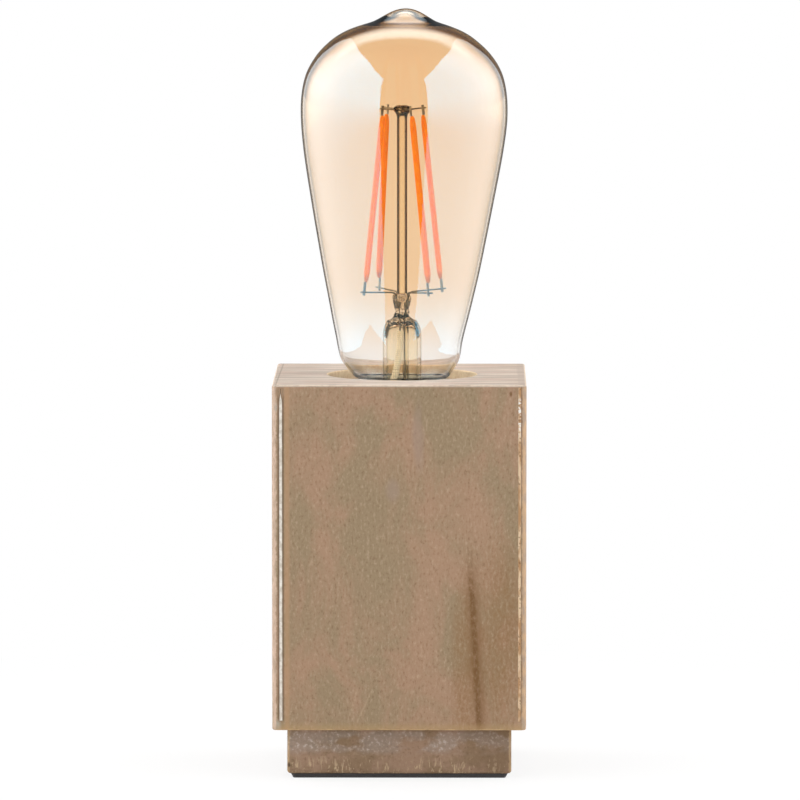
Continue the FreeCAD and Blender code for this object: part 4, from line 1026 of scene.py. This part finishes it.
def make_stem():
    """Flared stem, its knotted press and the pillar with its bead: turned outlines, then rippled."""
    flare, foot = NECK_RADIUS - GLASS_WALL, 0.3 - NECK_DEPTH
    bore = STEM_RADIUS - STEM_WALL
    ceiling = PRESS_FOOT - 2.2
    outside = [
        (ROD_RADIUS + 0.1, PRESS_TOP - 0.02), (2.35, PRESS_TOP - 0.5), (2.7, PRESS_TOP - 1.3),
        (2.75, PRESS_TOP - 2.4), (2.4, PRESS_TOP - 3.8), (2.15, PRESS_TOP - 5.2),
        (2.35, PRESS_FOOT + 0.6), (3.2, PRESS_FOOT - 0.6),
        (4.3, SHOULDER + 3.1), (5.4, SHOULDER + 1.6), (5.9, SHOULDER - 0.2),
        (STEM_RADIUS, SHOULDER - 2.5),
        (STEM_RADIUS, foot + 12.0), (STEM_RADIUS, foot + 9.5), (6.3, foot + 6.0), (7.2, foot + 3.4),
        (8.6, foot + 1.6), (flare, foot + 0.6),
    ]
    inside = [
        (flare - 1.6, foot + 0.7), (6.0, foot + 2.8), (5.1, foot + 6.0), (bore, foot + 9.5),
        (bore, foot + 12.0), (bore, SHOULDER - 2.5), (4.65, SHOULDER - 0.6), (4.1, SHOULDER + 0.9),
        (3.0, SHOULDER + 1.8), (1.5, ceiling - 0.1),
    ]
    turns = [(0.0, PRESS_TOP - 0.02), *smooth_curve(outside, 0.35), (flare, foot), (flare - 0.9, foot)]
    turns += [*smooth_curve(inside, 0.35), (0.0, ceiling)]
    outline = np.array(turns) + (0.0, CAP_RIM)
    stem = knotted(turned("glass_stem", outline, sides=64), SHOULDER + 2.0, PRESS_TOP, 0.16)
    # The edge colour is painted dark reflection.
    clear, edge = (0.97, 0.92, 0.80, 1.0), (0.16, 0.11, 0.03, 1.0)
    finish = inner_glass("stem_glass", clear, edge, 0.5, 0.85, veins=0.95)
    put("glass_stem", stem, "bulb", "stem_tube", finish, sharp=70)
    top = [(ROD_RADIUS, BEAD_FOOT - 1.0), (1.75, BEAD_FOOT), (2.45, BEAD_FOOT + 1.0)]
    top += [(2.7, BEAD_FOOT + 2.0), (2.3, BEAD_TOP - 0.4), (1.2, BEAD_TOP), (0.05, BEAD_TOP)]
    turns = [(0.0, PRESS_TOP), (ROD_RADIUS, PRESS_TOP)]
    turns += [(ROD_RADIUS, z) for z in np.linspace(PRESS_TOP + 1, BEAD_FOOT - 2, 30)]
    outline = np.array(turns + [*smooth_curve(top, 0.25), (0.0, BEAD_TOP)]) + (0.0, CAP_RIM)
    rod = knotted(turned("glass_pillar", outline, sides=48), BEAD_FOOT - 0.5, BEAD_TOP + 1, 0.14)
    # The edge colour is painted dark reflection.
    clear, edge = (0.97, 0.90, 0.72, 1.0), (0.02, 0.008, 0.0004, 1.0)
    finish = inner_glass("pillar_glass", clear, edge, 0.02, 0.24)
    put("glass_pillar", rod, "bulb", "pillar_rod", finish, sharp=70)


def make_sleeve():
    """Braided sleeve round the left stem wire, from the press down into the cap."""
    radius, fray = 0.98, 0.03
    top = PRESS_FOOT - 4.3
    points = [(-0.6, 0.0, top), (-0.6, 0.0, top - 3.2), (-1.2, -0.8, 5.5)]
    points += [(-2.9, -1.6, -2.0), (-3.5, -1.78, -8.75)]
    path = soft_path([above_rim(*point) for point in points], 24)
    scale = 1 + ripple(path, 1.2, 9) * fray
    mesh = carried("braid_sleeve", path, circle(radius, 20), scale)
    put("braid_sleeve", mesh, "bulb", "wire_sleeve")


# --- stage, light and camera ------------------------------------------------------------------

# Half the floor's width in metres. Where it starts and ends turning white, in millimetres, and how
# white it is there.
FLOOR_REACH = 30.0
FLOOR_FADE = (60.0, 300.0, 0.8, 1.0)


def make_stage():
    """Pale floor that keeps the lamp's shadow and turns plain white further out."""
    mesh = bpy.data.meshes.new("floor")
    reach = FLOOR_REACH
    corners = [(-reach, -reach, 0), (reach, -reach, 0), (reach, reach, 0), (-reach, reach, 0)]
    mesh.from_pydata(corners, [], [(0, 1, 2, 3)])
    floor = bpy.data.objects.new("floor", mesh)
    bpy.context.scene.collection.objects.link(floor)
    f = Finish("floor", Roughness=0.9)
    f.shader.inputs["Base Color"].default_value = (0.9, 0.9, 0.9, 1)
    x, y, _ = f.parts(f.place())
    away = (x * x + y * y) ** 0.5
    rays = f.node("ShaderNodeLightPath").socket.node.outputs
    sight = Value(f, rays["Is Camera Ray"]).most(Value(f, rays["Is Glossy Ray"]))
    sight = sight.most(Value(f, rays["Is Transmission Ray"]))
    white = f.node("ShaderNodeEmission", None, {"Color": (1, 1, 1, 1), "Strength": 1.0})
    blend = f.node("ShaderNodeMixShader", None, {0: sight * away.ramp(*FLOOR_FADE)})
    node = blend.socket.node
    f.tree.links.new(f.shader.outputs[0], node.inputs[1])
    f.tree.links.new(white.socket, node.inputs[2])
    f.tree.links.new(node.outputs[0], f.tree.nodes["Material Output"].inputs["Surface"])
    mesh.materials.append(f.material)
    floor.visible_glossy = False


class Glow(Finish):
    """The nodes of a lamp or of the world."""

    def __init__(self, owner, shader):
        owner.use_nodes = True
        self.tree = owner.node_tree
        self.shader = self.tree.nodes[shader]


# The soft boxes, in metres, and the parts of their height and depth over which they fade. They
# light surfaces, and the sheen lamps only reflections. Those stand a gap nearer, since lamps in
# one place hide one another in a mirror.
BOX_X, BOX_Y = 1.03, 0.04
BOX_LOW, BOX_HIGH, BOX_WIDTH = -1.1, 1.9, 4.1
BOX_FADE = (-0.2, 0.5)
BACK_FADE = (-0.2, 1.4, 1.0, 0.15)
SHEEN_GAP = 0.03

# Radiance at the top on the left (-1) and right (1), and the share of it that is left at the foot.
BOX_RADIANCE = {-1: 1.12, 1: 0.95}
SHEEN_RADIANCE = {-1: 11.5, 1: 10.0}
BOX_FOOT = 0.6
SHEEN_FOOT = 0.45


def softbox(name, side, radiance, foot_share, only_gloss=False):
    """Wide lamp beside the object, dimmer at its foot and its back. Radiance is at its top."""
    data = bpy.data.lights.new(name, "AREA")
    data.shape, data.size, data.size_y = "RECTANGLE", BOX_WIDTH, BOX_HIGH - BOX_LOW
    data.energy = radiance * data.size * data.size_y * math.pi
    g = Glow(data, "Emission")
    _, y, z = g.parts(g.node("ShaderNodeNewGeometry"))
    g.feed("Strength", z.ramp(*BOX_FADE, foot_share, 1.0) * y.ramp(*BACK_FADE))
    lamp = bpy.data.objects.new(name, data)
    bpy.context.scene.collection.objects.link(lamp)
    lamp.location = (side * (BOX_X - SHEEN_GAP * only_gloss), BOX_Y, (BOX_HIGH + BOX_LOW) / 2)
    lamp.rotation_euler = (math.pi / 2, 0, side * math.pi / 2)
    lamp.visible_diffuse = not only_gloss
    lamp.visible_transmission = False
    lamp.visible_camera = False


# Brightness of the room in front of the lamp and behind it, for surfaces and in reflections, and
# of its ceiling.
ROOM = (0.16, 0.7)
MIRRORED = (0.1, 0.15)
CEILING = 0.42
MIRRORED_CEILING = 3.0


def make_light():
    """White backdrop behind, a dimmer room round it and two long soft boxes beside the lamp."""
    world = bpy.data.worlds.new("studio")
    bpy.context.scene.world = world
    g = Glow(world, "Background")
    ray = g.node("ShaderNodeLightPath").socket.node.outputs
    straight, through, mirrored = (
        Value(g, ray[kind]) for kind in ("Is Camera Ray", "Is Transmission Ray", "Is Glossy Ray"))
    _, ahead, up = g.parts(g.node("ShaderNodeTexCoord"))
    backdrop = straight.most(through * ahead.ramp(0.86, 0.97))
    room = ahead.ramp(-0.3, 0.7, *ROOM) + up.ramp(0.1, 0.9) * CEILING
    overhead = up.ramp(0.5, 0.8) * ahead.ramp(0.3, 0.5)
    reflected = ahead.ramp(0.2, 0.75, *MIRRORED).most(overhead * MIRRORED_CEILING)
    g.shader.inputs["Color"].default_value = (1, 1, 1, 1)
    g.feed("Strength", backdrop.most(room + mirrored * (reflected - room)))
    for side, name in ((-1, "left"), (1, "right")):
        softbox("softbox_" + name, side, BOX_RADIANCE[side], BOX_FOOT)
        softbox("sheen_" + name, side, SHEEN_RADIANCE[side], SHEEN_FOOT, only_gloss=True)


CAMERA_PLACE = (0.01965, -2.5266, 0.3386)
CAMERA_PITCH = -5.0822
CAMERA_YAW = 0.4466
CAMERA_LENS = 367.36


def make_camera():
    """Camera of the photograph's angle: far off, a little above the block's top."""
    data = bpy.data.cameras.new("camera")
    data.lens, data.sensor_width, data.clip_end = CAMERA_LENS, 36.0, 100.0
    camera = bpy.data.objects.new("camera", data)
    bpy.context.scene.collection.objects.link(camera)
    camera.location = CAMERA_PLACE
    camera.rotation_euler = (math.radians(90 + CAMERA_PITCH), 0, math.radians(CAMERA_YAW))
    bpy.context.scene.camera = camera


dress_nodes()
make_wood_block()
make_plinth()
make_foot_pad()
make_edge_strips()
make_bulb_glass()
make_filaments()
make_stem()
make_sleeve()
make_stage()
make_light()
make_camera()

bpy.context.scene.view_settings.view_transform = "Standard"
